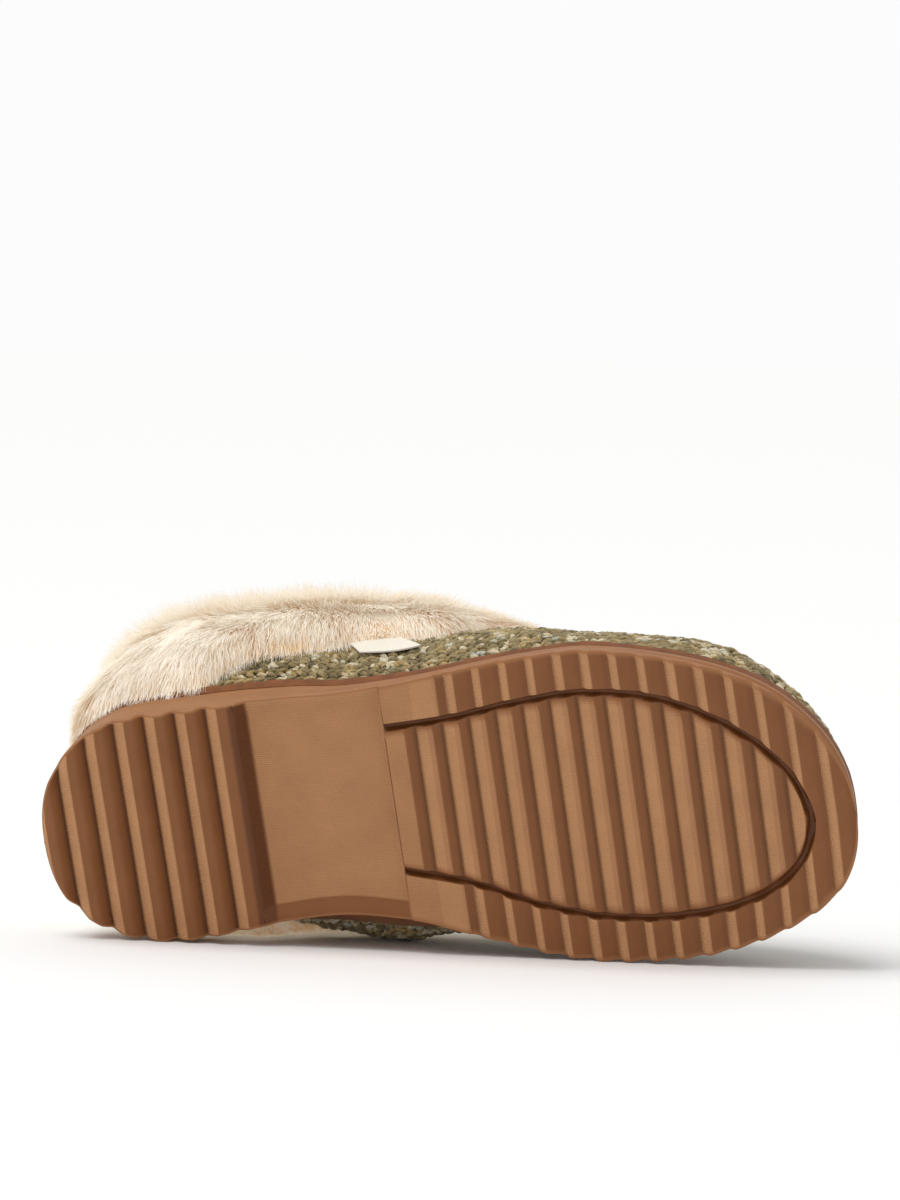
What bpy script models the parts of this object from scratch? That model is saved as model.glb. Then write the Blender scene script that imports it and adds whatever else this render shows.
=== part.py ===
"""Knitted clog slipper with a deep-pile cuff, for the right foot, lying on its inner side.

The shoe is modelled upright: x runs from the back of the heel to the toe, y to the inner side of the foot and
z up from the tread. An empty then lays it down on the inner edge of the sole and on the cuff, where it rests.
Lengths are millimetres until a mesh is made.
"""

import math

import bmesh
import bpy
import numpy as np
from mathutils import Matrix, Vector

MM = 0.001
OUTER = -1
INNER = 1

# Rubber unit
SOLE_LENGTH = 265.0
BALL_WIDTH = 105.0
HEEL_HEIGHT = 17.5
BALL_HEIGHT = 10.5
TOE_SPRING = 6.0
HEEL_SPRING = 1.5
HEEL_CORNER = 42.0
HEEL_FULLNESS = 2.2
TOE_CORNER = 85.0
TOE_FULLNESS = 2.3
SIDE_TAPER = 1.8
BEAD_HEIGHT = 3.2
BEAD_STEP = 0.7
BEAD_SLOPE = 0.5

# Tread of the heel
HEEL_RIBS = 6
HEEL_RIB_PITCH = 10.45
HEEL_RIB_DEPTH = 3.0
HEEL_GROOVE_WALL = 2.6
HEEL_FIRST_GROOVE = 6.2
BREAST_SLOPE = 5.0

# Recessed arch
ARCH_DEPTH = 4.0
ARCH_FRONT_DEPTH = 2.8
ARCH_BORDER_RISE = 0.8
BORDER_WIDTH = 5.5

# Tread of the forefoot
BLOCK_WALL = 1.0
RIB_PITCH = 8.92
RIM_RIB_DEPTH = 1.6
ISLAND_RIB_DEPTH = 1.8
ISLAND_FIRST_GROOVE = 10.3
RIM_FIRST_GROOVE = 22.2
CHANNEL_WIDTH = 3.0
CHANNEL_DEPTH = 2.6
CHANNEL_CORNER = 61.0
CHANNEL_FULLNESS = 2.0
END_WALL = 0.4

# Upper, foxing and footbed
KNIT_WALL = 4.0
CLEARANCE = 0.3
CHORD_ALLOWANCE = 0.4
FOXING_THICKNESS = 2.1
FOXING_EDGE = 0.9
FOXING_HEIGHT = 5.0
FOXING_ROUND = 1.4
INSOLE_THICKNESS = 5.0
INSOLE_DIP = 1.2
INSOLE_CLEARANCE = 0.5

# Collar line
COLLAR_BACK = 7.0
COLLAR_LENGTH = 143.0
COLLAR_WIDTH = 81.0
COLLAR_OFFSET = 3.0
COLLAR_HEEL_HEIGHT = 55.0
INSTEP_HEIGHT = 75.0
COLLAR_HEEL_CORNER = 42.0
COLLAR_THROAT_CORNER = 75.0
COLLAR_FULLNESS = 2.2
COLLAR_LAG = 1.47
BULGE_LOW = 0.35

# Cuff
PILE_DEPTH = 12.0
PILE_EDGE = 5.0
PILE_INSIDE = 9.0
PILE_TURN_IN = 12.0
LOCK_DEPTH = 3.0
LOCK_SWAY = 1.6
LOCKS_ROUND = 44
LOCK_ROWS = 4

# The side it lies on: how far the tread leans over the floor, and how much pile is left past the floor's plane
LEAN = 13.4
PILE_PRESSED = 0.08

# Tab under the cuff
TAB_WIDTH = 15.0
TAB_DROP = 11.0
TAB_LEAN = 1.0
TAB_THICKNESS = 0.8
TAB_PLACE = 0.272

# How finely the loops are cut
WALL_COLUMNS = 64
WALL_ROWS = 10
PROFILE_STEPS = 80
OUTLINE_STEPS = 720

# A row for each cross line of the sole, with shares of SOLE_LENGTH and BALL_WIDTH: place along the sole, middle
# line towards the outer side, and half width before the ends are rounded.
SOLE_COLUMNS = ("along", "middle", "half_width")
SOLE_ROWS = (
    (0.00, -0.010, 0.366),
    (0.08, 0.009, 0.366),
    (0.17, 0.016, 0.367),
    (0.28, 0.044, 0.359),
    (0.36, 0.056, 0.354),
    (0.45, 0.051, 0.378),
    (0.51, 0.038, 0.413),
    (0.57, 0.025, 0.450),
    (0.63, 0.012, 0.482),
    (0.70, 0.003, 0.499),
    (0.79, -0.016, 0.499),
    (0.91, -0.042, 0.499),
    (1.00, -0.090, 0.499),
)

# The channel round the island, in the same shares, from the front of the arch to its end under the toes.
CHANNEL_COLUMNS = ("along", "middle", "half_width")
CHANNEL_ROWS = (
    (0.445, 0.066, 0.228),
    (0.525, 0.050, 0.262),
    (0.615, 0.024, 0.326),
    (0.695, 0.009, 0.358),
    (0.780, -0.011, 0.360),
    (0.850, -0.040, 0.360),
    (0.946, -0.086, 0.360),
)

# How high the rubber stands at each place along the sole: 1 is HEEL_HEIGHT and 0 is BALL_HEIGHT. The tapers, of
# the outer and the inner side, are shares of SIDE_TAPER: below 0 the side flares out. Bead is a share of BEAD_STEP.
SIDE_COLUMNS = ("along", "heel_share", "outer_taper", "inner_taper", "bead")
SIDE_ROWS = (
    (0.00, 1.00, 0.20, 0.20, 0.30),
    (0.20, 0.92, 0.10, -0.20, 0.30),
    (0.32, 0.64, 0.30, -1.60, 0.45),
    (0.42, 0.26, 0.80, -2.10, 0.75),
    (0.52, 0.08, 1.00, -0.80, 0.95),
    (0.62, 0.02, 1.00, 0.80, 1.00),
    (0.75, 0.00, 1.00, 1.00, 1.00),
    (1.00, 0.00, 1.00, 1.00, 1.00),
)

# How the knit stands on the sole, by place along the sole: bulges as shares of BALL_WIDTH on each side, and the
# roundness of the wall, where 1 is a straight wall and 2 a quarter of an ellipse.
WALL_COLUMN_NAMES = ("along", "outer_bulge", "inner_bulge", "roundness")
WALL_TABLE = (
    (0.00, 0.012, 0.012, 1.00),
    (0.12, 0.018, 0.020, 1.00),
    (0.24, 0.028, 0.060, 1.00),
    (0.34, 0.030, 0.125, 1.05),
    (0.43, 0.028, 0.155, 1.15),
    (0.51, 0.024, 0.105, 1.45),
    (0.60, 0.018, 0.045, 1.65),
    (0.70, 0.012, 0.020, 1.85),
    (0.82, 0.008, 0.010, 1.95),
    (1.00, 0.004, 0.004, 1.90),
)

# The collar's height between COLLAR_HEEL_HEIGHT (0) and INSTEP_HEIGHT (1), and how far the cuff hangs, as a share
# of the wall between the foxing and the collar, by place along the collar.
CUFF_COLUMNS = ("along", "rise", "hang")
CUFF_ROWS = (
    (0.00, 0.00, 0.985),
    (0.26, 0.08, 0.985),
    (0.34, 0.16, 0.900),
    (0.42, 0.25, 0.560),
    (0.52, 0.38, 0.440),
    (0.66, 0.64, 0.380),
    (0.80, 0.80, 0.360),
    (0.92, 0.92, 0.280),
    (1.00, 1.00, 0.200),
)

# Depth of one rib, as a share of its own depth, in sixths of a pitch from the valley on its heel side. A rib of
# the island is a long ramp with a short fall towards the toe, and a rib of the rim is a short rise with a long
# fall.
ISLAND_RIB = (1.00, 0.68, 0.36, 0.08, 0.00, 0.55)
RIM_RIB = (1.00, 0.00, 0.00, 0.22, 0.58, 0.85)

# Thickness of the pile from the hem of the cuff over the collar to its inner edge: place, and share of the way
# from PILE_EDGE to PILE_DEPTH outside and from PILE_INSIDE to PILE_DEPTH inside.
PILE_COLUMNS = ("along", "fullness")
PILE_ROWS = (
    (0.00, 0.00),
    (0.15, 0.62),
    (0.35, 0.95),
    (0.60, 1.00),
    (1.00, 1.00),
)

DENSITIES = {"rubber": 1200.0, "leather": 900.0, "fabric": 300.0}


def smooth(rows, columns, name, at):
    """Values of one column of a table at these places, on a curve that never overshoots the rows."""
    table = np.array(rows, float)
    places = table[:, 0]
    values = table[:, columns.index(name)]
    steps = np.diff(places)
    slopes = np.diff(values) / steps
    before, after = slopes[:-1], slopes[1:]
    turning = before * after <= 0
    safe_before = np.where(turning, 1.0, before)
    safe_after = np.where(turning, 1.0, after)
    weight_a = 2 * steps[1:] + steps[:-1]
    weight_b = steps[1:] + 2 * steps[:-1]
    inner = (weight_a + weight_b) / (weight_a / safe_before + weight_b / safe_after)
    tangents = np.concatenate([slopes[:1], np.where(turning, 0.0, inner), slopes[-1:]])
    at = np.clip(at, places[0], places[-1])
    row = np.clip(np.searchsorted(places, at, side="right") - 1, 0, len(steps) - 1)
    step = steps[row]
    t = (at - places[row]) / step
    rise = values[row + 1] - values[row]
    start = tangents[row] * step
    end = tangents[row + 1] * step
    return values[row] + t * (start + t * ((3 * rise - 2 * start - end) + t * (start + end - 2 * rise)))


def rounded_end(distance, corner, fullness):
    """Share of the width left this far from an end whose corner has this length and fullness."""
    inside = 1 - np.clip(distance / corner, 0, 1)
    return (1 - inside**fullness) ** (1 / fullness)


def sole_middle(x):
    """The sole's middle line, as y."""
    return OUTER * BALL_WIDTH * smooth(SOLE_ROWS, SOLE_COLUMNS, "middle", x / SOLE_LENGTH)


def sole_half_width(x):
    width = BALL_WIDTH * smooth(SOLE_ROWS, SOLE_COLUMNS, "half_width", x / SOLE_LENGTH)
    heel = rounded_end(x, HEEL_CORNER, HEEL_FULLNESS)
    return width * heel * rounded_end(SOLE_LENGTH - x, TOE_CORNER, TOE_FULLNESS)


def outline_side(side):
    """Dense points of one side of the tread's outline, heel to toe, with the direction into the sole."""
    x = SOLE_LENGTH * (1 - np.cos(np.linspace(0, math.pi, OUTLINE_STEPS))) / 2
    y = sole_middle(x) + side * sole_half_width(x)
    along = np.column_stack([np.gradient(x), np.gradient(y)])
    along /= np.linalg.norm(along, axis=1)[:, None]
    inward = np.column_stack([side * along[:, 1], -side * along[:, 0]])
    inward[0] = (1, 0)
    inward[-1] = (-1, 0)
    return x, y, inward


OUTLINES = {side: outline_side(side) for side in (OUTER, INNER)}


def edge(x, side, inset):
    """Points this far inside the tread's outline, beside the outline's points at x."""
    places, y, inward = OUTLINES[side]
    across = np.interp(x, places, inward[:, 0])
    up = np.interp(x, places, inward[:, 1])
    return x + inset * across, np.interp(x, places, y) + inset * up


def ground(x):
    """Height of the tread's crests: flat under heel and ball, rising a little to both ends."""
    toe = np.clip((x / SOLE_LENGTH - 0.72) / 0.28, 0, 1)
    heel = np.clip(1 - x / HEEL_FIRST_GROOVE, 0, 1)
    return TOE_SPRING * toe**2 + HEEL_SPRING * heel**2


def rubber_top(x):
    share = smooth(SIDE_ROWS, SIDE_COLUMNS, "heel_share", x / SOLE_LENGTH)
    return BALL_HEIGHT + share * (HEEL_HEIGHT - BALL_HEIGHT) + ground(x) * (x > SOLE_LENGTH / 2)


def side_taper(x, side):
    name = "outer_taper" if side == OUTER else "inner_taper"
    return SIDE_TAPER * smooth(SIDE_ROWS, SIDE_COLUMNS, name, x / SOLE_LENGTH)


def bead_step(x):
    return BEAD_STEP * smooth(SIDE_ROWS, SIDE_COLUMNS, "bead", x / SOLE_LENGTH)


def heel_block_end():
    return HEEL_FIRST_GROOVE + HEEL_RIBS * HEEL_RIB_PITCH


def forefoot_start():
    return CHANNEL_ROWS[0][0] * SOLE_LENGTH


def channel_end():
    return CHANNEL_ROWS[-1][0] * SOLE_LENGTH


def heel_rib_depth(x):
    """Sawtooth of the heel: a steep wall that faces the toe, a ramp back to the crest, and the crest."""
    phase = (x - HEEL_FIRST_GROOVE + HEEL_GROOVE_WALL / 2) % HEEL_RIB_PITCH
    ramp_end = 0.62 * HEEL_RIB_PITCH
    return np.interp(phase, (0, HEEL_GROOVE_WALL, ramp_end), (0, HEEL_RIB_DEPTH, 0))


def forefoot_rib_depth(x, first_groove, depth, shape):
    """Depth of the ribs that start at a groove this far in front of the arch. It is flat before them."""
    place = (x - forefoot_start() - first_groove) / RIB_PITCH
    sixths = np.interp(place % 1 * 6, range(7), shape + shape[:1])
    return np.where(place < -2.01 / 6, 0, depth * sixths)


def tread_depth(x, first_groove, depth, shape):
    """Depth of the tread at x, from the plane of its crests, with these ribs in the forefoot."""
    start = HEEL_FIRST_GROOVE - HEEL_GROOVE_WALL / 2
    heel_end = heel_block_end()
    block = forefoot_start()
    arch = np.interp(
        x,
        (heel_end, heel_end + BREAST_SLOPE, block, block + BLOCK_WALL),
        (0, ARCH_DEPTH, ARCH_FRONT_DEPTH, 0),
    )
    heel = np.where((x > start) & (x < heel_end - HEEL_GROOVE_WALL / 2), heel_rib_depth(x), 0)
    forefoot = forefoot_rib_depth(x, first_groove, depth, shape)
    return np.where(x < heel_end, heel, np.where(x < block + BLOCK_WALL, arch, forefoot))


def rim_depth(x):
    return tread_depth(x, RIM_FIRST_GROOVE, RIM_RIB_DEPTH, RIM_RIB)


def island_depth(x):
    return tread_depth(x, ISLAND_FIRST_GROOVE, ISLAND_RIB_DEPTH, ISLAND_RIB)


def channel_edge(x, side, widen):
    """One wall of the channel, as y. widen is half the channel's width, or minus that for the island's side."""
    share = x / SOLE_LENGTH
    middle = OUTER * BALL_WIDTH * smooth(CHANNEL_ROWS, CHANNEL_COLUMNS, "middle", share)
    half = BALL_WIDTH * smooth(CHANNEL_ROWS, CHANNEL_COLUMNS, "half_width", share) + widen
    end = rounded_end(channel_end() + widen - x, CHANNEL_CORNER, CHANNEL_FULLNESS)
    return middle + side * half * end


def tread_places():
    """Every x at which the tread changes, from the back of the heel to the toe."""
    wall = HEEL_GROOVE_WALL / 2
    places = [0, 0.06 * HEEL_FIRST_GROOVE, 0.25 * HEEL_FIRST_GROOVE, 0.5 * HEEL_FIRST_GROOVE]
    for rib in range(HEEL_RIBS):
        groove = HEEL_FIRST_GROOVE + rib * HEEL_RIB_PITCH
        places += [groove - wall, groove + wall, groove - wall + 0.62 * HEEL_RIB_PITCH]
    arch_start = heel_block_end() + BREAST_SLOPE
    block = forefoot_start()
    places += [heel_block_end(), *np.linspace(arch_start, block, 7), block + BLOCK_WALL]
    island_end = channel_end() - CHANNEL_WIDTH / 2
    outer_end = channel_end() + CHANNEL_WIDTH / 2
    fixed = places + [island_end - END_WALL, island_end, outer_end - END_WALL, outer_end]
    fixed += [SOLE_LENGTH * share for share in (0.975, 0.987, 0.9945, 0.9985, 1)]
    step = RIB_PITCH / 6
    first = block + ISLAND_FIRST_GROOVE - 2 * step
    ribs = np.arange(first, SOLE_LENGTH * 0.97, step)
    clear = [x for x in ribs if min(abs(x - place) for place in fixed) > step / 5]
    return np.array(sorted(fixed + clear))


def new_material(name, colour, roughness, sheen=0.0):
    material = bpy.data.materials.new(name)
    material.use_nodes = True
    shader = material.node_tree.nodes["Principled BSDF"]
    shader.inputs["Base Color"].default_value = (*colour, 1)
    shader.inputs["Roughness"].default_value = roughness
    shader.inputs["Metallic"].default_value = 0.0
    shader.inputs["Sheen Weight"].default_value = sheen
    material.diffuse_color = (*colour, 1)
    return material


def new_piece(name, points, faces, material, root, smooth_angle=40):
    """An object from points in millimetres. Points that coincide become one, and flat slivers go."""
    mesh = bpy.data.meshes.new(name)
    mesh.from_pydata((np.asarray(points) * MM).tolist(), [], faces)
    work = bmesh.new()
    work.from_mesh(mesh)
    bmesh.ops.remove_doubles(work, verts=work.verts, dist=0.002 * MM)
    bmesh.ops.dissolve_degenerate(work, edges=work.edges, dist=0.002 * MM)
    bmesh.ops.triangulate(work, faces=work.faces)
    bmesh.ops.recalc_face_normals(work, faces=work.faces)
    work.to_mesh(mesh)
    work.free()
    mesh.materials.append(material)
    mesh.shade_smooth()
    mesh.set_sharp_from_angle(angle=math.radians(smooth_angle))
    piece = bpy.data.objects.new(name, mesh)
    bpy.context.scene.collection.objects.link(piece)
    piece.parent = root
    return piece


def quads(sections, points, first=0, closed=True):
    """Faces between neighbouring sections of this many points. closed also joins the last section to the first."""
    faces = []
    for section in range(sections if closed else sections - 1):
        here = first + section * points
        there = first + (section + 1) % sections * points
        for point in range(points):
            beside = (point + 1) % points
            faces.append((here + point, here + beside, there + beside, there + point))
    return faces


def make_outsole(material, root):
    """Sections across the sole, one at each change of the tread, each a closed line of sixteen points."""
    x = tread_places()
    level = ground(x)
    block = forefoot_start()
    rim = rim_depth(x)
    middle = island_depth(x)
    in_arch = (x > heel_block_end()) & (x < block + BLOCK_WALL)
    edge_depth = np.where(in_arch, np.maximum(rim - ARCH_BORDER_RISE, 0), rim)
    spread = x >= block + BLOCK_WALL
    half = CHANNEL_WIDTH / 2
    in_channel = spread & (x < channel_end() + half)
    on_island = spread & (x < channel_end() - half)
    centre = np.where(spread, channel_edge(np.minimum(x, channel_end()), 0, 0), sole_middle(x))
    sole_top = rubber_top(x)
    sections = np.zeros((len(x), 16, 3))

    def put(point, across, height, along=x):
        sections[:, point] = np.column_stack([along, across, height])

    channel = np.where(in_channel, CHANNEL_DEPTH, rim)
    island = np.where(on_island, middle, channel)
    for side, order in ((OUTER, (0, 1, 2, 3, 4)), (INNER, (9, 8, 7, 6, 5))):
        edge_x, edge_y = edge(x, side, side_taper(x, side) * edge_depth / sole_top)
        border = sole_middle(x) + side * np.maximum(sole_half_width(x) - BORDER_WIDTH, 0)
        outer_wall = np.where(in_channel, channel_edge(x, side, half), centre)
        inner_wall = np.where(on_island, channel_edge(x, side, -half), centre)
        outer_wall = np.where(spread, outer_wall, border)
        put(order[0], edge_y, level + edge_depth, edge_x)
        put(order[1], outer_wall, level + rim)
        put(order[2], outer_wall, level + np.where(spread, channel, rim))
        put(order[3], inner_wall, level + np.where(spread, channel, middle))
        put(order[4], inner_wall, level + np.where(spread, island, middle))
    for side, order in ((INNER, (10, 11, 12)), (OUTER, (15, 14, 13))):
        for point, below_top, step in (
            (order[0], BEAD_HEIGHT, bead_step(x)),
            (order[1], BEAD_HEIGHT - BEAD_SLOPE, 0),
            (order[2], 0, 0),
        ):
            inset = side_taper(x, side) * (1 - below_top / sole_top) + step
            along, across = edge(x, side, inset)
            put(point, across, rubber_top(along) - below_top, along)
    faces = quads(len(x), 16, closed=False)
    return new_piece("outsole", sections.reshape(-1, 3), faces, material, root)


def half_loop(turns):
    """0 at the toe to 1 at the heel, and the side, for places round the shoe."""
    turns = np.asarray(turns) % 1
    outer = turns <= 0.5
    return np.where(outer, 2 * turns, 2 * (1 - turns)), np.where(outer, OUTER, INNER)


def base_loop(turns):
    """Where the knit meets the sole, the way out of it in plan, and the place along the sole."""
    share, sides = half_loop(turns)
    x = SOLE_LENGTH * (1 + np.cos(math.pi * share)) / 2
    points = np.zeros((len(x), 3))
    outward = np.zeros((len(x), 3))
    for side in (OUTER, INNER):
        chosen = sides == side
        inset = side_taper(x[chosen], side) + FOXING_THICKNESS + 2 * CLEARANCE
        foot = np.column_stack(edge(x[chosen], side, inset))
        points[chosen, :2] = foot
        outward[chosen, :2] = np.column_stack(edge(x[chosen], side, inset - 1)) - foot
    points[:, 2] = rubber_top(points[:, 0]) + CLEARANCE
    return points, outward, x / SOLE_LENGTH


def collar_loop(turns):
    """The collar's edge in the middle of the wall's height, and the place along the collar."""
    share, sides = half_loop(turns)
    along = (1 + np.cos(math.pi * share**COLLAR_LAG)) / 2
    x = COLLAR_BACK + COLLAR_LENGTH * along
    heel = rounded_end(x - COLLAR_BACK, COLLAR_HEEL_CORNER, COLLAR_FULLNESS)
    throat = rounded_end(COLLAR_BACK + COLLAR_LENGTH - x, COLLAR_THROAT_CORNER, COLLAR_FULLNESS)
    y = OUTER * COLLAR_OFFSET + sides * COLLAR_WIDTH / 2 * heel * throat
    rise = smooth(CUFF_ROWS, CUFF_COLUMNS, "rise", along)
    z = COLLAR_HEEL_HEIGHT + rise * (INSTEP_HEIGHT - COLLAR_HEEL_HEIGHT)
    return np.column_stack([x, y, z]), along


def wall_points(turns, shares):
    """Points on the outside of the knit, this share of the way up the wall from the sole to the collar.

    shares has a row for each place round the shoe, and is measured along the wall.
    """
    base, outward, along = base_loop(turns)
    collar, _ = collar_loop(turns)
    power = 2 / smooth(WALL_TABLE, WALL_COLUMN_NAMES, "roundness", along)[:, None]
    angle = np.linspace(0, math.pi / 2, PROFILE_STEPS)[None, :]
    rise = np.sin(angle) ** power
    travel = 1 - np.cos(angle) ** power
    _, sides = half_loop(turns)
    outer = smooth(WALL_TABLE, WALL_COLUMN_NAMES, "outer_bulge", along)
    inner = smooth(WALL_TABLE, WALL_COLUMN_NAMES, "inner_bulge", along)
    swell = np.sin(math.pi * rise) * (1 + BULGE_LOW * np.cos(math.pi * rise))
    bulge = BALL_WIDTH * np.where(sides == OUTER, outer, inner)[:, None] * swell
    way = collar - base
    profile = base[:, None, :] + travel[..., None] * way[:, None, :] * (1, 1, 0)
    profile = profile + rise[..., None] * way[:, None, :] * (0, 0, 1)
    profile = profile + bulge[..., None] * outward[:, None, :]
    lengths = np.linalg.norm(np.diff(profile, axis=1), axis=2)
    run = np.concatenate([np.zeros((len(base), 1)), np.cumsum(lengths, axis=1)], axis=1)
    shares = np.broadcast_to(shares, (len(base), np.shape(shares)[-1]))
    found = np.zeros((*shares.shape, 3))
    for column in range(len(base)):
        wanted = np.clip(shares[column], 0, 1) * run[column, -1]
        for axis in range(3):
            found[column, :, axis] = np.interp(wanted, run[column], profile[column, :, axis])
    return found


def wall_lengths(turns):
    """Length of the wall from the sole to the collar at each place round the shoe."""
    points = wall_points(turns, np.linspace(0, 1, PROFILE_STEPS))
    return np.linalg.norm(np.diff(points, axis=1), axis=2).sum(axis=1)


def wall_frames(turns, shares):
    """Points of the wall with its outward normal and the direction up the wall."""
    turns = np.asarray(turns, float)
    shares = np.broadcast_to(shares, (len(turns), np.shape(shares)[-1]))
    small_turn = 0.006
    small_share = 0.02
    round_shoe = wall_points(turns + small_turn, shares) - wall_points(turns - small_turn, shares)
    up = wall_points(turns, np.minimum(shares + small_share, 1))
    up = up - wall_points(turns, np.maximum(shares - small_share, 0))
    up /= np.linalg.norm(up, axis=2)[..., None]
    normal = np.cross(up, round_shoe)
    normal /= np.linalg.norm(normal, axis=2)[..., None]
    return wall_points(turns, shares), normal, up


def wall_offset(turns, shares, offset):
    """Points this far outside the knit's outer face, or inside it where offset is negative."""
    points, normal, _ = wall_frames(turns, shares)
    return points + np.asarray(offset)[..., None] * normal


def share_at_rise(turns, rise):
    """The share of the wall at which it stands this high above the rubber."""
    shares = np.linspace(0, 1, PROFILE_STEPS)
    points = wall_points(turns, shares)
    heights = points[..., 2] - points[:, :1, 2]
    return np.array([np.interp(rise, column, shares) for column in heights])[:, None]


def foot_offset(turns, offset):
    """Where the surface this far outside the knit's outer face, carried on down the wall, meets the sole."""
    start, normal, up = (part[:, 0] for part in wall_frames(turns, np.zeros(1)))
    start = start + offset * normal
    foot = start
    for _ in range(3):
        level = rubber_top(foot[:, 0]) + CLEARANCE
        foot = start + ((level - start[:, 2]) / up[:, 2])[:, None] * up
    foot[:, 2] = rubber_top(foot[:, 0]) + CLEARANCE
    return foot


def columns_round(count):
    return np.arange(count) / count


def even_columns(count):
    """Places round the shoe that are evenly spaced along the collar."""
    fine = columns_round(OUTLINE_STEPS)
    loop, _ = collar_loop(fine)
    steps = np.linalg.norm(np.roll(loop, -1, axis=0) - loop, axis=1)
    run = np.concatenate([[0], np.cumsum(steps)])
    return np.interp(columns_round(count) * run[-1], run, np.append(fine, 1))


def floor_plane():
    """The plane the shoe lies on: a point of it, and the way through it out of the shoe.

    It holds the line that touches the inner edge of the tread at the heel and at the ball, and leans by LEAN.
    """
    x, y, _ = OUTLINES[INNER]
    back = x < 0.4 * SOLE_LENGTH
    slope = 0.0
    for _ in range(6):
        beyond = y - slope * x
        heel = np.argmax(np.where(back, beyond, -np.inf))
        ball = np.argmax(np.where(back, -np.inf, beyond))
        slope = (y[ball] - y[heel]) / (x[ball] - x[heel])
    lean = math.radians(LEAN)
    side = np.array([-slope, 1, 0]) / math.hypot(slope, 1)
    return np.array([x[ball], y[ball], 0]), math.cos(lean) * side - (0, 0, math.sin(lean))


def pressed(points):
    """The same points, with what lies past the floor's plane pressed back to it."""
    at, down = floor_plane()
    past = np.maximum((points - at) @ down, 0)
    return points - (1 - PILE_PRESSED) * past[..., None] * down


def make_upper(material, root):
    """One hollow wall, open at the collar and underneath: up its outside, and down its inside."""
    turns = columns_round(WALL_COLUMNS)
    even = np.linspace(0, 1, WALL_ROWS + 1)
    shares = (even + (1 - np.cos(math.pi * even)) / 2) / 2
    outside = wall_points(turns, shares)
    inside = wall_offset(turns, shares, -KNIT_WALL)
    inside[:, 0] = foot_offset(turns, -KNIT_WALL)
    sections = np.concatenate([outside, inside[:, ::-1]], axis=1)
    faces = quads(WALL_COLUMNS, sections.shape[1])
    return new_piece("upper", sections.reshape(-1, 3), faces, material, root)


def make_foxing(material, root):
    """A strip round the foot of the knit, thinner and rounded at its top edge."""
    turns = columns_round(WALL_COLUMNS)
    near = CLEARANCE + CHORD_ALLOWANCE / 4
    far = near + FOXING_THICKNESS
    top = share_at_rise(turns, FOXING_HEIGHT)
    shoulder = share_at_rise(turns, FOXING_HEIGHT - FOXING_ROUND)
    sections = np.concatenate(
        [
            foot_offset(turns, far)[:, None],
            wall_offset(turns, shoulder, far),
            wall_offset(turns, top, near + FOXING_EDGE),
            wall_offset(turns, top, near),
            foot_offset(turns, near)[:, None],
        ],
        axis=1,
    )
    faces = quads(WALL_COLUMNS, sections.shape[1])
    return new_piece("foxing", sections.reshape(-1, 3), faces, material, root)


def make_insole(material, root):
    """The footbed: a pad inside the wall, a little hollow along its middle."""
    count = WALL_COLUMNS
    turns = columns_round(count)
    inset = -KNIT_WALL - INSOLE_CLEARANCE
    low = foot_offset(turns, inset)
    high = wall_offset(turns, share_at_rise(turns, INSOLE_THICKNESS), inset)[:, 0]
    middle = (high + high[(-np.arange(count)) % count]) / 2 - (0, 0, INSOLE_DIP)
    middle[0] = high[0]
    middle[count // 2] = high[count // 2]
    points = np.concatenate([low, high, middle])
    faces = []
    for column in range(count):
        beside = (column + 1) % count
        faces.append((column, beside, count + beside, count + column))
        faces.append((count + column, count + beside, 2 * count + beside, 2 * count + column))
    for column in range(count // 2):
        across = (count - column) % count
        faces.append((column, column + 1, count - column - 1, across))
    both_sides = np.concatenate([np.arange(2 * count), 2 * count + np.minimum(
        np.arange(count), (-np.arange(count)) % count)])
    return new_piece("insole", points[both_sides], faces, material, root)


def soft(directions):
    """The same directions, each evened out with those beside it round the shoe."""
    for _ in range(5):
        directions = directions + (np.roll(directions, 1, axis=0) + np.roll(directions, -1, axis=0)) / 2
    return directions / np.linalg.norm(directions, axis=1)[:, None]


def pile_points(turns, share, offset):
    """Points this far outside the knit's outer face, on directions that are evened out round the shoe."""
    points, normal, _ = wall_frames(turns, share[:, None])
    return points[:, 0] + offset[:, None] * soft(normal[:, 0])


def lock_height(columns, rows):
    """Shingled locks: each swells towards its tip and the next row starts under it. 0 to 1."""
    row = rows // 3
    along = (rows % 3 + 1) / 3
    beside = (columns[:, None] + row[None, :]) % 2
    wave = 0.78 + 0.22 * np.sin(2.4 * columns[:, None] + 1.7 * row[None, :] + 0.9 * np.cos(1.3 * columns[:, None]))
    return along[None, :] * np.where(beside == 0, wave, 0.18)


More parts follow.
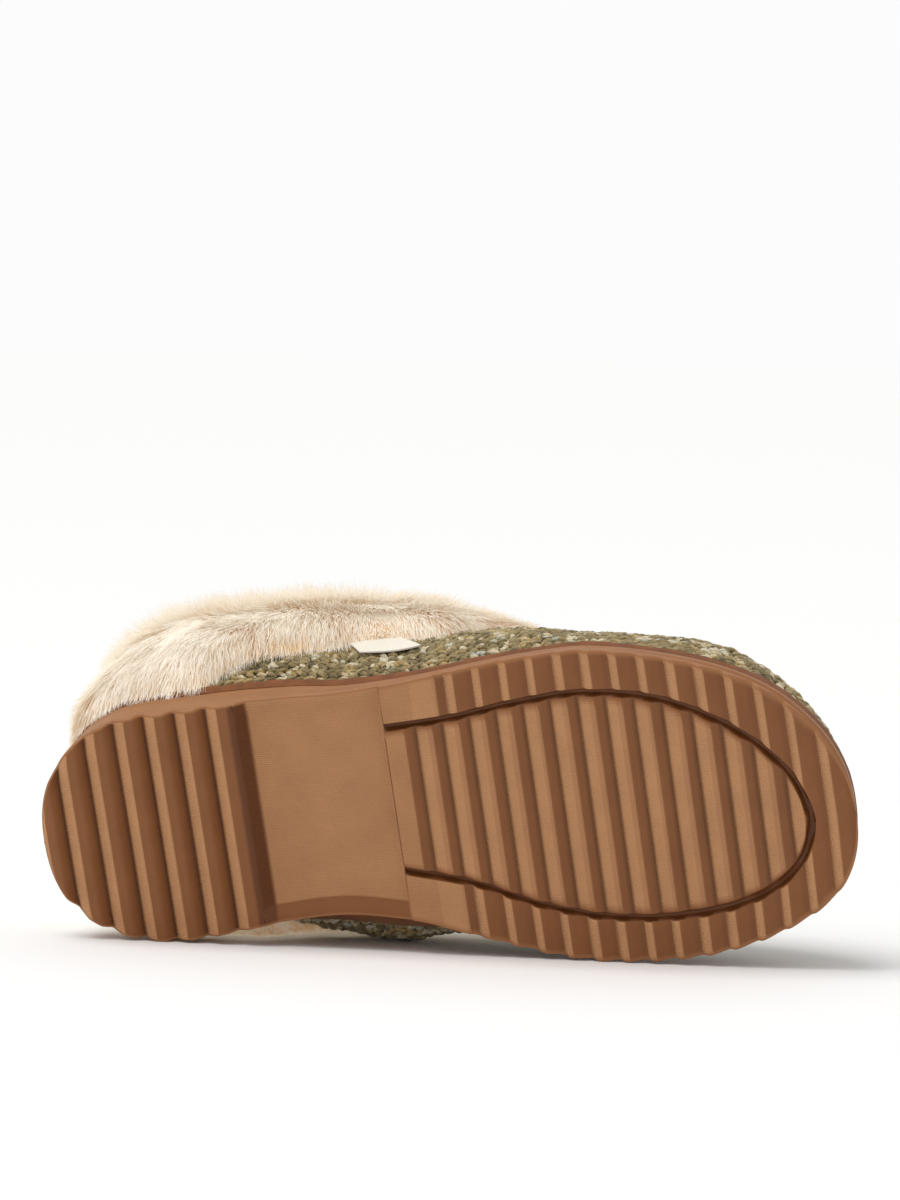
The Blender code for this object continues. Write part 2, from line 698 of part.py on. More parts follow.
def make_fur_collar(material, root):
    """The cuff: pile folded over the collar, its hem outside, its inner edge in the shoe, locks all over."""
    count = 2 * LOCKS_ROUND
    columns = np.arange(count)
    turns = even_columns(count)
    lengths = wall_lengths(turns)
    _, along = collar_loop(turns)
    foxing_top = share_at_rise(turns, FOXING_HEIGHT + CLEARANCE)[:, 0]
    hang = smooth(CUFF_ROWS, CUFF_COLUMNS, "hang", along)
    hem = 1 - hang * (1 - foxing_top)
    turn_in = np.minimum(PILE_TURN_IN / lengths, 0.5)
    seat = CLEARANCE + CHORD_ALLOWANCE
    inside_seat = -KNIT_WALL - seat

    outer_steps = np.array([0, 0.3, 0.56, 0.78, 0.91, 0.97, 1])
    outer_shares = hem[:, None] + outer_steps * (1 - hem[:, None])
    seat_outside = wall_offset(turns, outer_shares, seat)
    rim, normal, up = (part[:, 0] for part in wall_frames(turns, np.ones(1)))
    rim_outside = (rim + seat * normal + seat * up)[:, None]
    rim_inside = (rim + inside_seat * normal + seat * up)[:, None]
    inner_shares = 1 - turn_in[:, None] * np.array([0.35, 1.0])
    seat_inside = wall_offset(turns, inner_shares, inside_seat)
    seat_line = np.concatenate([seat_outside[:, :-1], rim_outside, rim_inside, seat_inside], axis=1)

    out, over = soft(normal), soft(up)
    rows = np.arange(3 * LOCK_ROWS)
    locks = LOCK_DEPTH * lock_height(columns, rows)
    down_outside = 5
    over_rim = len(rows) - down_outside - 3
    pile = []
    for row in rows:
        lock = locks[:, row]
        if row < 3:
            place = 1 - row / 3
            share = 1 - turn_in * (0.25 + 0.75 * place)
            thick = PILE_INSIDE * (1 - 0.35 * place)
            point = pile_points(turns, share, inside_seat - thick - lock)
        elif row < 3 + over_rim:
            angle = math.pi * (row - 2.5) / over_rim
            centre = rim - KNIT_WALL / 2 * out
            reach = np.interp(angle, (0, math.pi), (PILE_INSIDE, PILE_DEPTH)) + KNIT_WALL / 2 + lock
            point = centre + reach[:, None] * (math.sin(angle) * over - math.cos(angle) * out)
        else:
            place = (row - 3 - over_rim + 0.6) / (down_outside - 0.4)
            share = 1 - place * (1 - hem)
            full = smooth(PILE_ROWS, PILE_COLUMNS, "fullness", 1 - place)
            thick = PILE_EDGE + full * (PILE_DEPTH - PILE_EDGE)
            point = pile_points(turns, share, seat + thick + lock)
            point = point - LOCK_SWAY * (lock / LOCK_DEPTH)[:, None] * over * (place < 0.95)
        pile.append(point[:, None])
    pile_line = pressed(np.concatenate(pile, axis=1))
    sections = np.concatenate([seat_line, pile_line], axis=1)
    faces = quads(count, sections.shape[1])
    return new_piece("fur_collar", sections.reshape(-1, 3), faces, material, root, 70)


def make_label_tab(material, root):
    """A small slanted tab that hangs from under the cuff's hem, flat on the knit."""
    across = np.linspace(-0.5, 0.5, 5)
    down = np.linspace(0, 1, 4)
    centre = np.array([TAB_PLACE])
    length = wall_lengths(centre)[0]
    _, along = collar_loop(centre)
    foxing_top = share_at_rise(centre, FOXING_HEIGHT + CLEARANCE)[0, 0]
    hem = 1 - smooth(CUFF_ROWS, CUFF_COLUMNS, "hang", along)[0] * (1 - foxing_top)
    near = wall_points(centre + (-0.002, 0.002), np.array([hem]))
    turn_for_mm = 0.004 / np.linalg.norm(near[0, 0] - near[1, 0])
    layers = []
    for offset in (CLEARANCE, CLEARANCE + TAB_THICKNESS):
        for drop in down:
            lean = -TAB_LEAN * drop
            turns = TAB_PLACE + (TAB_WIDTH * across + lean) * turn_for_mm
            share = hem - (3 * CLEARANCE + TAB_DROP * drop) / length
            layers.append(wall_offset(turns, np.array([share]), offset)[:, 0])
    points = np.concatenate(layers)
    rows, cols = len(down), len(across)
    faces = []
    for row in range(rows - 1):
        for col in range(cols - 1):
            corner = row * cols + col
            near_face = (corner, corner + 1, corner + cols + 1, corner + cols)
            faces += [near_face, tuple(point + rows * cols for point in near_face)]
    rim = [*range(cols), *(row * cols + cols - 1 for row in range(1, rows))]
    rim += [*range(rows * cols - 2, (rows - 1) * cols - 1, -1)]
    rim += [row * cols for row in range(rows - 2, 0, -1)]
    for here, there in zip(rim, rim[1:] + rim[:1]):
        faces.append((here, there, there + rows * cols, here + rows * cols))
    return new_piece("label_tab", points, faces, material, root)


def volume_and_centre(piece):
    """The solid's volume, and its centre times that volume, in the shoe's own frame."""
    volume = 0.0
    moment = Vector((0, 0, 0))
    for face in piece.data.polygons:
        a, b, c = (piece.data.vertices[index].co for index in face.vertices)
        share = a.dot(b.cross(c)) / 6
        volume += share
        moment += share * (a + b + c) / 4
    return volume, moment


def centre_of_mass(pieces):
    mass = 0.0
    moment = Vector((0, 0, 0))
    for piece, density in pieces:
        volume, turning = volume_and_centre(piece)
        mass += density * volume
        moment += density * turning
    return moment / mass


def stands_on(corners, normal, centre):
    """True if the centre of mass is over this face of the hull."""
    for here, there in zip(corners, corners[1:] + corners[:1]):
        if (there - here).cross(centre - here).dot(normal) < 0:
            return False
    return True


def resting_direction(pieces):
    """The way down when the shoe lies on its inner side: out of the hull's face that carries its weight."""
    hull = bmesh.new()
    for piece, _ in pieces:
        for vertex in piece.data.vertices:
            hull.verts.new(vertex.co)
    bmesh.ops.convex_hull(hull, input=hull.verts)
    centre = centre_of_mass(pieces)
    inner_side = Vector((0, INNER, 0))
    best = None
    for face in hull.faces:
        corners = [loop.vert.co.copy() for loop in face.loops]
        normal = (corners[1] - corners[0]).cross(corners[2] - corners[0]).normalized()
        if normal.dot(corners[0] - centre) < 0:
            normal.negate()
            corners.reverse()
        if stands_on(corners, normal, centre) and (best is None or normal.dot(inner_side) > best.dot(inner_side)):
            best = normal
    hull.free()
    return best


def lay_down(root, pieces):
    """Turns the shoe so that its resting face is on the floor, toe to +X and tread to -Y, over the origin."""
    up = -resting_direction(pieces)
    toe = Vector((1, 0, 0))
    toe = (toe - toe.dot(up) * up).normalized()
    turn = Matrix((toe, up.cross(toe), up))
    corners = np.array([turn @ vertex.co for piece, _ in pieces for vertex in piece.data.vertices])
    low, high = corners.min(axis=0), corners.max(axis=0)
    shift = Vector((-(low[0] + high[0]) / 2, -(low[1] + high[1]) / 2, -low[2]))
    root.matrix_world = Matrix.Translation(shift) @ turn.to_4x4()


def main():
    for old in list(bpy.data.objects):
        bpy.data.objects.remove(old, do_unlink=True)
    root = bpy.data.objects.new("slipper", None)
    bpy.context.scene.collection.objects.link(root)
    rubber = new_material("tan_rubber", (0.35, 0.15, 0.065), 0.6)
    suede = new_material("tan_suede", (0.30, 0.13, 0.055), 0.9, 0.3)
    lining = new_material("cream_footbed", (0.72, 0.62, 0.48), 0.95, 0.3)
    knit = new_material("olive_knit", (0.20, 0.18, 0.07), 0.9, 0.2)
    pile = new_material("cream_pile", (0.82, 0.74, 0.62), 0.95, 0.5)
    ribbon = new_material("cream_ribbon", (0.80, 0.76, 0.66), 0.8)
    pieces = [
        (make_outsole(rubber, root), DENSITIES["rubber"]),
        (make_foxing(suede, root), DENSITIES["leather"]),
        (make_insole(lining, root), DENSITIES["fabric"]),
        (make_upper(knit, root), DENSITIES["fabric"]),
        (make_fur_collar(pile, root), DENSITIES["fabric"]),
        (make_label_tab(ribbon, root), DENSITIES["fabric"]),
    ]
    lay_down(root, pieces)
    bpy.context.view_layer.update()


main()
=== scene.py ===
"""Looks of the knitted slipper: rubber sole, suede foxing, knit, pile cuff and footbed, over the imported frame.

Shapes are worked out on the upright shoe, in millimetres: x runs from heel to toe, y to the inner side and z up.
placed() lays them down as the frame is, in metres.
"""

import math

import bmesh
import bpy
import numpy as np
from bpy.props import FloatProperty, FloatVectorProperty, IntProperty, PointerProperty
from mathutils import Matrix, Vector


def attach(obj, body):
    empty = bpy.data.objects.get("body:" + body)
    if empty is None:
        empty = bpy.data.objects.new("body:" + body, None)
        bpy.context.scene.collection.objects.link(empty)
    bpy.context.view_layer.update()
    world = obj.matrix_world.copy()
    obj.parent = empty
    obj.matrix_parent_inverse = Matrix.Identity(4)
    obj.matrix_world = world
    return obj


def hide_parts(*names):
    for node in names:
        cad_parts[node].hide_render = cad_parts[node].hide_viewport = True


bl_info = {
    "name": "Knitted slipper",
    "version": (1, 0, 0),
    "blender": (4, 5, 0),
    "location": "View3D > Sidebar > Slipper",
    "description": "Builds a knitted slipper with a pile cuff and a ribbed rubber sole",
    "category": "Object",
}

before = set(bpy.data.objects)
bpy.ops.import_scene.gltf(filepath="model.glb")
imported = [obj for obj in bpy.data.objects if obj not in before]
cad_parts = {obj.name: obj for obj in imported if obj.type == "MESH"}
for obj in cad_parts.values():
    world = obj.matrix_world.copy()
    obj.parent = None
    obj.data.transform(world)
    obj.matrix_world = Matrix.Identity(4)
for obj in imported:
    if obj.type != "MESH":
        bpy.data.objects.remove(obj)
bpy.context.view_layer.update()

# How the upright shoe is laid on its inner side, as the CAD nodes are
TURN = np.array(
    (
        (0.995182, 0.094899, -0.024620),
        (0.000000, 0.251121, 0.967956),
        (0.098041, -0.963292, 0.249912),
    )
)
SHIFT = np.array((-0.126599, -0.039168, 0.031986))

MM = 0.001

# The camera: the way its picture's right and top run in the upright shoe, and what it looks at, in millimetres
PICTURE_RIGHT = (0.973, 0.138, 0.220)
PICTURE_UP = (0.072, -0.944, 0.311)
LOOKS_AT = (143.4, -68.7, 10.6)
# The photograph's height in pixels, its pixels for each millimetre of the shoe, the camera's distance in metres,
# its sensor in millimetres, and how far it sees, in metres
PHOTO_HEIGHT = 1200
PHOTO_SCALE = 3.1745
CAMERA_DISTANCE = 2.0
SENSOR = 36.0
SEES_TO = 50

# The stage: half the floor's side, and the softbox's side and place, in metres; the way the window's light comes
# from; how bright the camera sees the surround, so that it meets the floor without a line; and the floor's white
FLOOR_HALF = 6
SOFTBOX_SIDE = 1.2
SOFTBOX_PLACE = (-0.9, -1.3, 1.9)
LIGHT_FROM = (-0.28, -0.22, 0.93)
SEEN_SURROUND = 0.975
FLOOR_WHITE = "#F5F5F4"

# The two sides of a shoe, as the sign of y
OUTER = -1
INNER = 1

# Rubber unit
SOLE_LENGTH = 265.0
BALL_WIDTH = 105.0
HEEL_HEIGHT = 17.5
BALL_HEIGHT = 10.5
TOE_SPRING = 6.0
HEEL_SPRING = 1.5
HEEL_CORNER = 42.0
HEEL_FULLNESS = 2.2
TOE_CORNER = 85.0
TOE_FULLNESS = 2.3
SIDE_TAPER = 1.8
BEAD_HEIGHT = 3.2
BEAD_STEP = 0.7

# Tread of the heel
HEEL_RIBS = 6
HEEL_RIB_PITCH = 10.45
HEEL_RIB_DEPTH = 3.0
HEEL_GROOVE_WALL = 2.6
HEEL_FIRST_GROOVE = 6.2
BREAST_SLOPE = 5.0

# Recessed arch
ARCH_DEPTH = 4.0
ARCH_FRONT_DEPTH = 2.8
ARCH_BORDER_RISE = 0.8
BORDER_WIDTH = 5.5

# Tread of the forefoot
BLOCK_WALL = 1.0
RIB_PITCH = 8.92
RIM_RIB_DEPTH = 1.6
ISLAND_RIB_DEPTH = 1.8
ISLAND_FIRST_GROOVE = 10.3
RIM_FIRST_GROOVE = 22.2
CHANNEL_WIDTH = 3.0
CHANNEL_DEPTH = 2.6
CHANNEL_CORNER = 61.0
CHANNEL_FULLNESS = 2.0

# Upper, foxing and footbed
KNIT_WALL = 4.0
CLEARANCE = 0.3
FOXING_THICKNESS = 2.1
FOXING_HEIGHT = 5.0
INSOLE_THICKNESS = 5.0
INSOLE_DIP = 1.2
INSOLE_CLEARANCE = 0.5

# Collar line
COLLAR_BACK = 7.0
COLLAR_LENGTH = 143.0
COLLAR_WIDTH = 81.0
COLLAR_OFFSET = 3.0
COLLAR_HEEL_HEIGHT = 55.0
INSTEP_HEIGHT = 75.0
COLLAR_HEEL_CORNER = 42.0
COLLAR_THROAT_CORNER = 75.0
COLLAR_FULLNESS = 2.2
COLLAR_LAG = 1.47
BULGE_LOW = 0.35

# Cuff
PILE_DEPTH = 12.0
PILE_EDGE = 5.0
PILE_INSIDE = 9.0
PILE_TURN_IN = 12.0

# The side it lies on: how far the tread leans over the floor, and how much pile is left past the floor's plane
LEAN = 13.4
PILE_PRESSED = 0.08

# How finely the loops are cut
PROFILE_STEPS = 80
OUTLINE_STEPS = 720

# A row for each cross line of the sole, with shares of SOLE_LENGTH and BALL_WIDTH: place along the sole, middle
# line towards the outer side, and half width before the ends are rounded.
SOLE_COLUMNS = ("along", "middle", "half_width")
SOLE_ROWS = (
    (0.00, -0.010, 0.366),
    (0.08, 0.009, 0.366),
    (0.17, 0.016, 0.367),
    (0.28, 0.044, 0.359),
    (0.36, 0.056, 0.354),
    (0.45, 0.051, 0.378),
    (0.51, 0.038, 0.413),
    (0.57, 0.025, 0.450),
    (0.63, 0.012, 0.482),
    (0.70, 0.003, 0.499),
    (0.79, -0.016, 0.499),
    (0.91, -0.042, 0.499),
    (1.00, -0.090, 0.499),
)

# The channel round the island, in the same shares, from the front of the arch to its end under the toes.
CHANNEL_COLUMNS = ("along", "middle", "half_width")
CHANNEL_ROWS = (
    (0.445, 0.066, 0.228),
    (0.525, 0.050, 0.262),
    (0.615, 0.024, 0.326),
    (0.695, 0.009, 0.358),
    (0.780, -0.011, 0.360),
    (0.850, -0.040, 0.360),
    (0.946, -0.086, 0.360),
)

# How high the rubber stands at each place along the sole: 1 is HEEL_HEIGHT and 0 is BALL_HEIGHT. The tapers, of
# the outer and the inner side, are shares of SIDE_TAPER: below 0 the side flares out. Bead is a share of BEAD_STEP.
SIDE_COLUMNS = ("along", "heel_share", "outer_taper", "inner_taper", "bead")
SIDE_ROWS = (
    (0.00, 1.00, 0.20, 0.20, 0.30),
    (0.20, 0.92, 0.10, -0.20, 0.30),
    (0.32, 0.64, 0.30, -1.60, 0.45),
    (0.42, 0.26, 0.80, -2.10, 0.75),
    (0.52, 0.08, 1.00, -0.80, 0.95),
    (0.62, 0.02, 1.00, 0.80, 1.00),
    (0.75, 0.00, 1.00, 1.00, 1.00),
    (1.00, 0.00, 1.00, 1.00, 1.00),
)

# How the knit stands on the sole, by place along the sole: bulges as shares of BALL_WIDTH on each side, and the
# roundness of the wall, where 1 is a straight wall and 2 a quarter of an ellipse.
WALL_COLUMNS = ("along", "outer_bulge", "inner_bulge", "roundness")
WALL_ROWS = (
    (0.00, 0.012, 0.012, 1.00),
    (0.12, 0.018, 0.020, 1.00),
    (0.24, 0.028, 0.060, 1.00),
    (0.34, 0.030, 0.125, 1.05),
    (0.43, 0.028, 0.155, 1.15),
    (0.51, 0.024, 0.105, 1.45),
    (0.60, 0.018, 0.045, 1.65),
    (0.70, 0.012, 0.020, 1.85),
    (0.82, 0.008, 0.010, 1.95),
    (1.00, 0.004, 0.004, 1.90),
)

# The collar's height between COLLAR_HEEL_HEIGHT (0) and INSTEP_HEIGHT (1), and how far the cuff hangs, as a share
# of the wall between the foxing and the collar, by place along the collar.
CUFF_COLUMNS = ("along", "rise", "hang")
CUFF_ROWS = (
    (0.00, 0.00, 0.985),
    (0.26, 0.08, 0.985),
    (0.34, 0.16, 0.900),
    (0.42, 0.25, 0.560),
    (0.52, 0.38, 0.440),
    (0.66, 0.64, 0.380),
    (0.80, 0.80, 0.360),
    (0.92, 0.92, 0.280),
    (1.00, 1.00, 0.200),
)

# Depth of one rib, as a share of its own depth, in sixths of a pitch from the valley on its heel side. A rib of
# the island is a long ramp with a short fall towards the toe, and a rib of the rim is a short rise with a long
# fall.
ISLAND_RIB = (1.00, 0.68, 0.36, 0.08, 0.00, 0.55)
RIM_RIB = (1.00, 0.00, 0.00, 0.22, 0.58, 0.85)

# Thickness of the pile from the hem of the cuff over the collar to its inner edge: place, and share of the way
# from PILE_EDGE to PILE_DEPTH outside and from PILE_INSIDE to PILE_DEPTH inside.
PILE_COLUMNS = ("along", "fullness")
PILE_ROWS = (
    (0.00, 0.00),
    (0.15, 0.62),
    (0.35, 0.95),
    (0.60, 1.00),
    (1.00, 1.00),
)

# The ramp of the first rib of the forefoot starts this much of a pitch before its groove
RAMP_START = -2.01 / 6

# Sections of the rubber lie closer and closer together over these millimetres at its heel and toe
END_SECTIONS = 26
HEEL_END = 6
TOE_END = 12

# The tread's rounded edge, as millimetres in from the side and up, and the shares of the side wall with points
EDGE_INSET = 0.6
EDGE_PROFILE = ((EDGE_INSET, 0.0), (0.2, 0.16), (0.0, 0.6))
SIDE_SHARES = (0.25, 0.5, 0.75)
# The bead under the rubber's top: millimetres under the top, and the step inwards. The step is a share of the
# bead's own step down to 1 mm under the top, and above that it is millimetres.
BEAD_PROFILE = (
    (3.35, 1.0),
    (3.1, 0.85),
    (2.85, 0.35),
    (2.5, 0.05),
    (1.5, 0.0),
    (0.45, 0.0),
    (0.12, 0.15),
    (0.0, 0.5),
)

# Rows of the tread's points: on the rim, across the channel as shares of its width, and on the island
RIM_ROWS = 10
CHANNEL_SHARES = (0.06, 0.14, 0.24, 0.36, 0.64, 0.76, 0.86, 0.94, 1.0)
ISLAND_ROWS = 12

# Which part of a rib is grained, in sixths of a pitch from the valley on its heel side, the width of the line of
# dots along a grained band, in millimetres, and how strong those dots are on the heel and on the forefoot
ISLAND_GRAIN = (1.0, 1.0, 1.0, 0.6, 0.0, 0.0)
RIM_GRAIN = (1.0, 1.0, 0.0, 0.0, 0.0, 0.0)
DOTTED_LINE = 0.9
HEEL_DOTS = 2.0
FOREFOOT_DOTS = 2.2

# How pale the rubber is in the arch and on the side walls, as shares of the grained rubber
ARCH_PALE = 0.72
SIDE_PALE = 0.35

# The grain of the mould, in millimetres: spacing of its ridges along and across the sole, and size of its fine
# roughness. It is drawn as coarse as it needs to show. The wear is blotches about WEAR_SIZE wide.
GRAIN_ALONG = 0.507
GRAIN_ACROSS = 0.714
GRAIN_ROUGH = 0.714
WEAR_SIZE = 11.1
# Millimetres from line to line of a wave texture, on coordinates in millimetres, at a scale of 1
WAVE_PERIOD = math.pi / 10

# The heel of the knit and of the cuff is drawn in over the footbed, as in the photograph: by this many millimetres
# at the very back, and by less and less up to this place along the sole. It begins and is full at these heights
# over the rubber.
HEEL_DRAW = 6.0
HEEL_DRAW_END = 45
HEEL_DRAW_FROM = 4
HEEL_DRAW_FULL = 26

# The suede strip: its columns round the shoe, the height of each row over the rubber with its share of the
# thickness, the height from which it wavers, and each wave's depth in millimetres, count round the shoe and start
FOXING_COLUMNS = 420
FOXING_PROFILE = ((1.6, 1.0), (3.0, 1.0), (4.1, 0.92), (4.8, 0.7), (5.1, 0.35), (5.15, 0.0))
WAVER_FROM = 4
WAVERS = ((0.25, 23, 0), (0.2, 61, 1), (0.15, 107, 2))

# The knit's backing: columns round the shoe and rows up the wall. The curls of the lining and of the footbed are
# this deep, in millimetres.
BACKING_COLUMNS = 320
BACKING_ROWS = 20
LINING_CURLS = 0.25

# Soft swells (+) and creases (-) of the knit, listed one by one: turn, share of the wall, height in mm, and half
# widths
SWELLS = (
    (0.050, 0.42, 3.0, 0.032, 0.30),
    (0.105, 0.30, 2.0, 0.030, 0.26),
    (0.150, 0.36, -0.6, 0.014, 0.22),
    (0.182, 0.40, -2.4, 0.026, 0.32),
    (0.215, 0.30, 1.5, 0.020, 0.24),
    (0.262, 0.34, -0.6, 0.012, 0.30),
    (0.330, 0.30, 0.9, 0.030, 0.25),
    (0.955, 0.45, 1.4, 0.028, 0.30),
    (0.900, 0.55, -1.1, 0.012, 0.35),
    (0.865, 0.42, 1.3, 0.022, 0.28),
    (0.020, 0.70, -1.0, 0.050, 0.05),
    (0.985, 0.80, 0.9, 0.050, 0.06),
    (0.130, 0.74, -1.0, 0.016, 0.14),
    (0.800, 0.50, -0.8, 0.014, 0.30),
)

# Stitches, in millimetres: height of the lowest chain over the rubber, how far the knit goes on under the cuff's
# hem, how deep a stitch sits in the wall, how far it strays, and how far its legs bow out
FIRST_CHAIN = 3.4
UNDER_HEM = 8
STITCH_SEAT = 0.25
STITCH_STRAY = 0.12
STITCH_ARCH = 0.9

# Rows of the cuff's grid, from its inner seat over the collar to its outer seat: shares of the part turned in,
# first and last angle over the collar as shares of a half turn with their count, and rows down the outer side.
# CROWN_ROW is the row on the collar's top, and the last value is the grid's columns round the shoe.
INSIDE_PLACES = (1.0, 0.75, 0.5, 0.25)
CROWN_ANGLES = (0.06, 0.92, 9)
FALL_ROWS = 10
CROWN_ROW = 9
CUFF_COLUMNS_ROUND = 300
# How much less the cuff stands out where the pile lies down, in millimetres
CUFF_THINNING = 5.0
# How much farther out than the solid the cuff bulges on the outer side, by the place along the shoe, in millimetres
CUFF_SPREAD = ((-10, 0), (8, 0), (25, 1.5), (45, 2), (70, 2.5), (100, 1.5), (122, 0), (142, -3.5), (165, -4))
# The long pile's pieces: the first row of the cuff's grid that each takes and the row it ends before, and its
# shares of the hair's length and density
PILE_BANDS = (
    ("pile_inside", 0, 5, 0.75, 0.45),
    ("pile_crown_inner", 5, 9, 1.0, 0.8),
    ("pile_crown_outer", 9, 14, 1.0, 1.0),
    ("pile_fall_upper", 14, 19, 1.0, 1.0),
    ("pile_fall_lower", 19, 40, 1.0, 1.0),
)
# Least height of a hair or stitch over the floor, in metres, and how unevenly those that are lain on bend
FLOOR_GAP = 0.0004
LAIN_ON = 0.0003

# The footbed: its columns and rings, and the height of its rounded edge in millimetres
FOOTBED_COLUMNS = 220
FOOTBED_RINGS = 14
FOOTBED_EDGE = 0.8

# The ribbon tab: its place round the shoe, its grid, and in millimetres its thickness, its slant over its drop, how
# far it stands off the wall to clear the stitches, and how far its corners lift
TAB_PLACE = 0.272
TAB_COLUMNS = 13
TAB_ROWS = 11
TAB_DEPTH = 0.5
TAB_SLANT = 4.5
TAB_LIFT = 1.8
TAB_CURL = 0.25


def smooth(rows, columns, name, at):
    """Values of one column of a table at these places, on a curve that never overshoots the rows."""
    table = np.array(rows, float)
    places = table[:, 0]
    values = table[:, columns.index(name)]
    steps = np.diff(places)
    slopes = np.diff(values) / steps
    before, after = slopes[:-1], slopes[1:]
    turning = before * after <= 0
    safe_before = np.where(turning, 1.0, before)
    safe_after = np.where(turning, 1.0, after)
    weight_a = 2 * steps[1:] + steps[:-1]
    weight_b = steps[1:] + 2 * steps[:-1]
    inner = (weight_a + weight_b) / (weight_a / safe_before + weight_b / safe_after)
    tangents = np.concatenate([slopes[:1], np.where(turning, 0.0, inner), slopes[-1:]])
    at = np.clip(at, places[0], places[-1])
    row = np.clip(np.searchsorted(places, at, side="right") - 1, 0, len(steps) - 1)
    step = steps[row]
    t = (at - places[row]) / step
    rise = values[row + 1] - values[row]
    start = tangents[row] * step
    end = tangents[row + 1] * step
    return values[row] + t * (start + t * ((3 * rise - 2 * start - end) + t * (start + end - 2 * rise)))


def rounded_end(distance, corner, fullness):
    """Share of the width left this far from an end whose corner has this length and fullness."""
    inside = 1 - np.clip(distance / corner, 0, 1)
    return (1 - inside**fullness) ** (1 / fullness)


def sole_middle(x):
    """The sole's middle line, as y."""
    return OUTER * BALL_WIDTH * smooth(SOLE_ROWS, SOLE_COLUMNS, "middle", x / SOLE_LENGTH)


def sole_half_width(x):
    """Half the tread's width, with both ends rounded."""
    width = BALL_WIDTH * smooth(SOLE_ROWS, SOLE_COLUMNS, "half_width", x / SOLE_LENGTH)
    heel = rounded_end(x, HEEL_CORNER, HEEL_FULLNESS)
    return width * heel * rounded_end(SOLE_LENGTH - x, TOE_CORNER, TOE_FULLNESS)


def outline_side(side):
    """Dense points of one side of the tread's outline, heel to toe, with the direction into the sole."""
    x = SOLE_LENGTH * (1 - np.cos(np.linspace(0, math.pi, OUTLINE_STEPS))) / 2
    y = sole_middle(x) + side * sole_half_width(x)
    along = np.column_stack([np.gradient(x), np.gradient(y)])
    along /= np.linalg.norm(along, axis=1)[:, None]
    inward = np.column_stack([side * along[:, 1], -side * along[:, 0]])
    inward[0] = (1, 0)
    inward[-1] = (-1, 0)
    return x, y, inward


OUTLINES = {side: outline_side(side) for side in (OUTER, INNER)}


def edge(x, side, inset):
    """Points this far inside the tread's outline, beside the outline's points at x."""
    places, y, inward = OUTLINES[side]
    across = np.interp(x, places, inward[:, 0])
    up = np.interp(x, places, inward[:, 1])
    return x + inset * across, np.interp(x, places, y) + inset * up


def ground(x):
    """Height of the tread's crests: flat under heel and ball, rising a little to both ends."""
    toe = np.clip((x / SOLE_LENGTH - 0.72) / 0.28, 0, 1)
    heel = np.clip(1 - x / HEEL_FIRST_GROOVE, 0, 1)
    return TOE_SPRING * toe**2 + HEEL_SPRING * heel**2


def rubber_top(x):
    """Height of the rubber's top edge."""
    share = smooth(SIDE_ROWS, SIDE_COLUMNS, "heel_share", x / SOLE_LENGTH)
    return BALL_HEIGHT + share * (HEEL_HEIGHT - BALL_HEIGHT) + ground(x) * (x > SOLE_LENGTH / 2)


def side_taper(x, side):
    """How far the rubber's side leans in from the tread to the top."""
    name = "outer_taper" if side == OUTER else "inner_taper"
    return SIDE_TAPER * smooth(SIDE_ROWS, SIDE_COLUMNS, name, x / SOLE_LENGTH)


def bead_step(x):
    """How far the side steps in under the bead."""
    return BEAD_STEP * smooth(SIDE_ROWS, SIDE_COLUMNS, "bead", x / SOLE_LENGTH)


def heel_block_end():
    """Where the heel's last rib ends, as x."""
    return HEEL_FIRST_GROOVE + HEEL_RIBS * HEEL_RIB_PITCH


def forefoot_start():
    """Where the forefoot's block starts, as x."""
    return CHANNEL_ROWS[0][0] * SOLE_LENGTH


def channel_end():
    """Where the channel turns round under the toes, as x."""
    return CHANNEL_ROWS[-1][0] * SOLE_LENGTH


def heel_rib_depth(x):
    """Sawtooth of the heel: a steep wall that faces the toe, a ramp back to the crest, and the crest."""
    phase = (x - HEEL_FIRST_GROOVE + HEEL_GROOVE_WALL / 2) % HEEL_RIB_PITCH
    ramp_end = 0.62 * HEEL_RIB_PITCH
    return np.interp(phase, (0, HEEL_GROOVE_WALL, ramp_end), (0, HEEL_RIB_DEPTH, 0))


def forefoot_rib_depth(x, first_groove, depth, shape):
    """Depth of the ribs that start at a groove this far in front of the arch. It is flat before them."""
    place = (x - forefoot_start() - first_groove) / RIB_PITCH
    sixths = np.interp(place % 1 * 6, range(7), shape + shape[:1])
    return np.where(place < RAMP_START, 0, depth * sixths)


def tread_depth(x, first_groove, depth, shape):
    """Depth of the tread at x, from the plane of its crests, with these ribs in the forefoot."""
    start = HEEL_FIRST_GROOVE - HEEL_GROOVE_WALL / 2
    heel_end = heel_block_end()
    block = forefoot_start()
    arch = np.interp(
        x,
        (heel_end, heel_end + BREAST_SLOPE, block, block + BLOCK_WALL),
        (0, ARCH_DEPTH, ARCH_FRONT_DEPTH, 0),
    )
    heel = np.where((x > start) & (x < heel_end - HEEL_GROOVE_WALL / 2), heel_rib_depth(x), 0)
    forefoot = forefoot_rib_depth(x, first_groove, depth, shape)
    return np.where(x < heel_end, heel, np.where(x < block + BLOCK_WALL, arch, forefoot))


def rim_depth(x):
    """Depth of the tread outside the channel."""
    return tread_depth(x, RIM_FIRST_GROOVE, RIM_RIB_DEPTH, RIM_RIB)


def island_depth(x):
    """Depth of the tread inside the channel."""
    return tread_depth(x, ISLAND_FIRST_GROOVE, ISLAND_RIB_DEPTH, ISLAND_RIB)


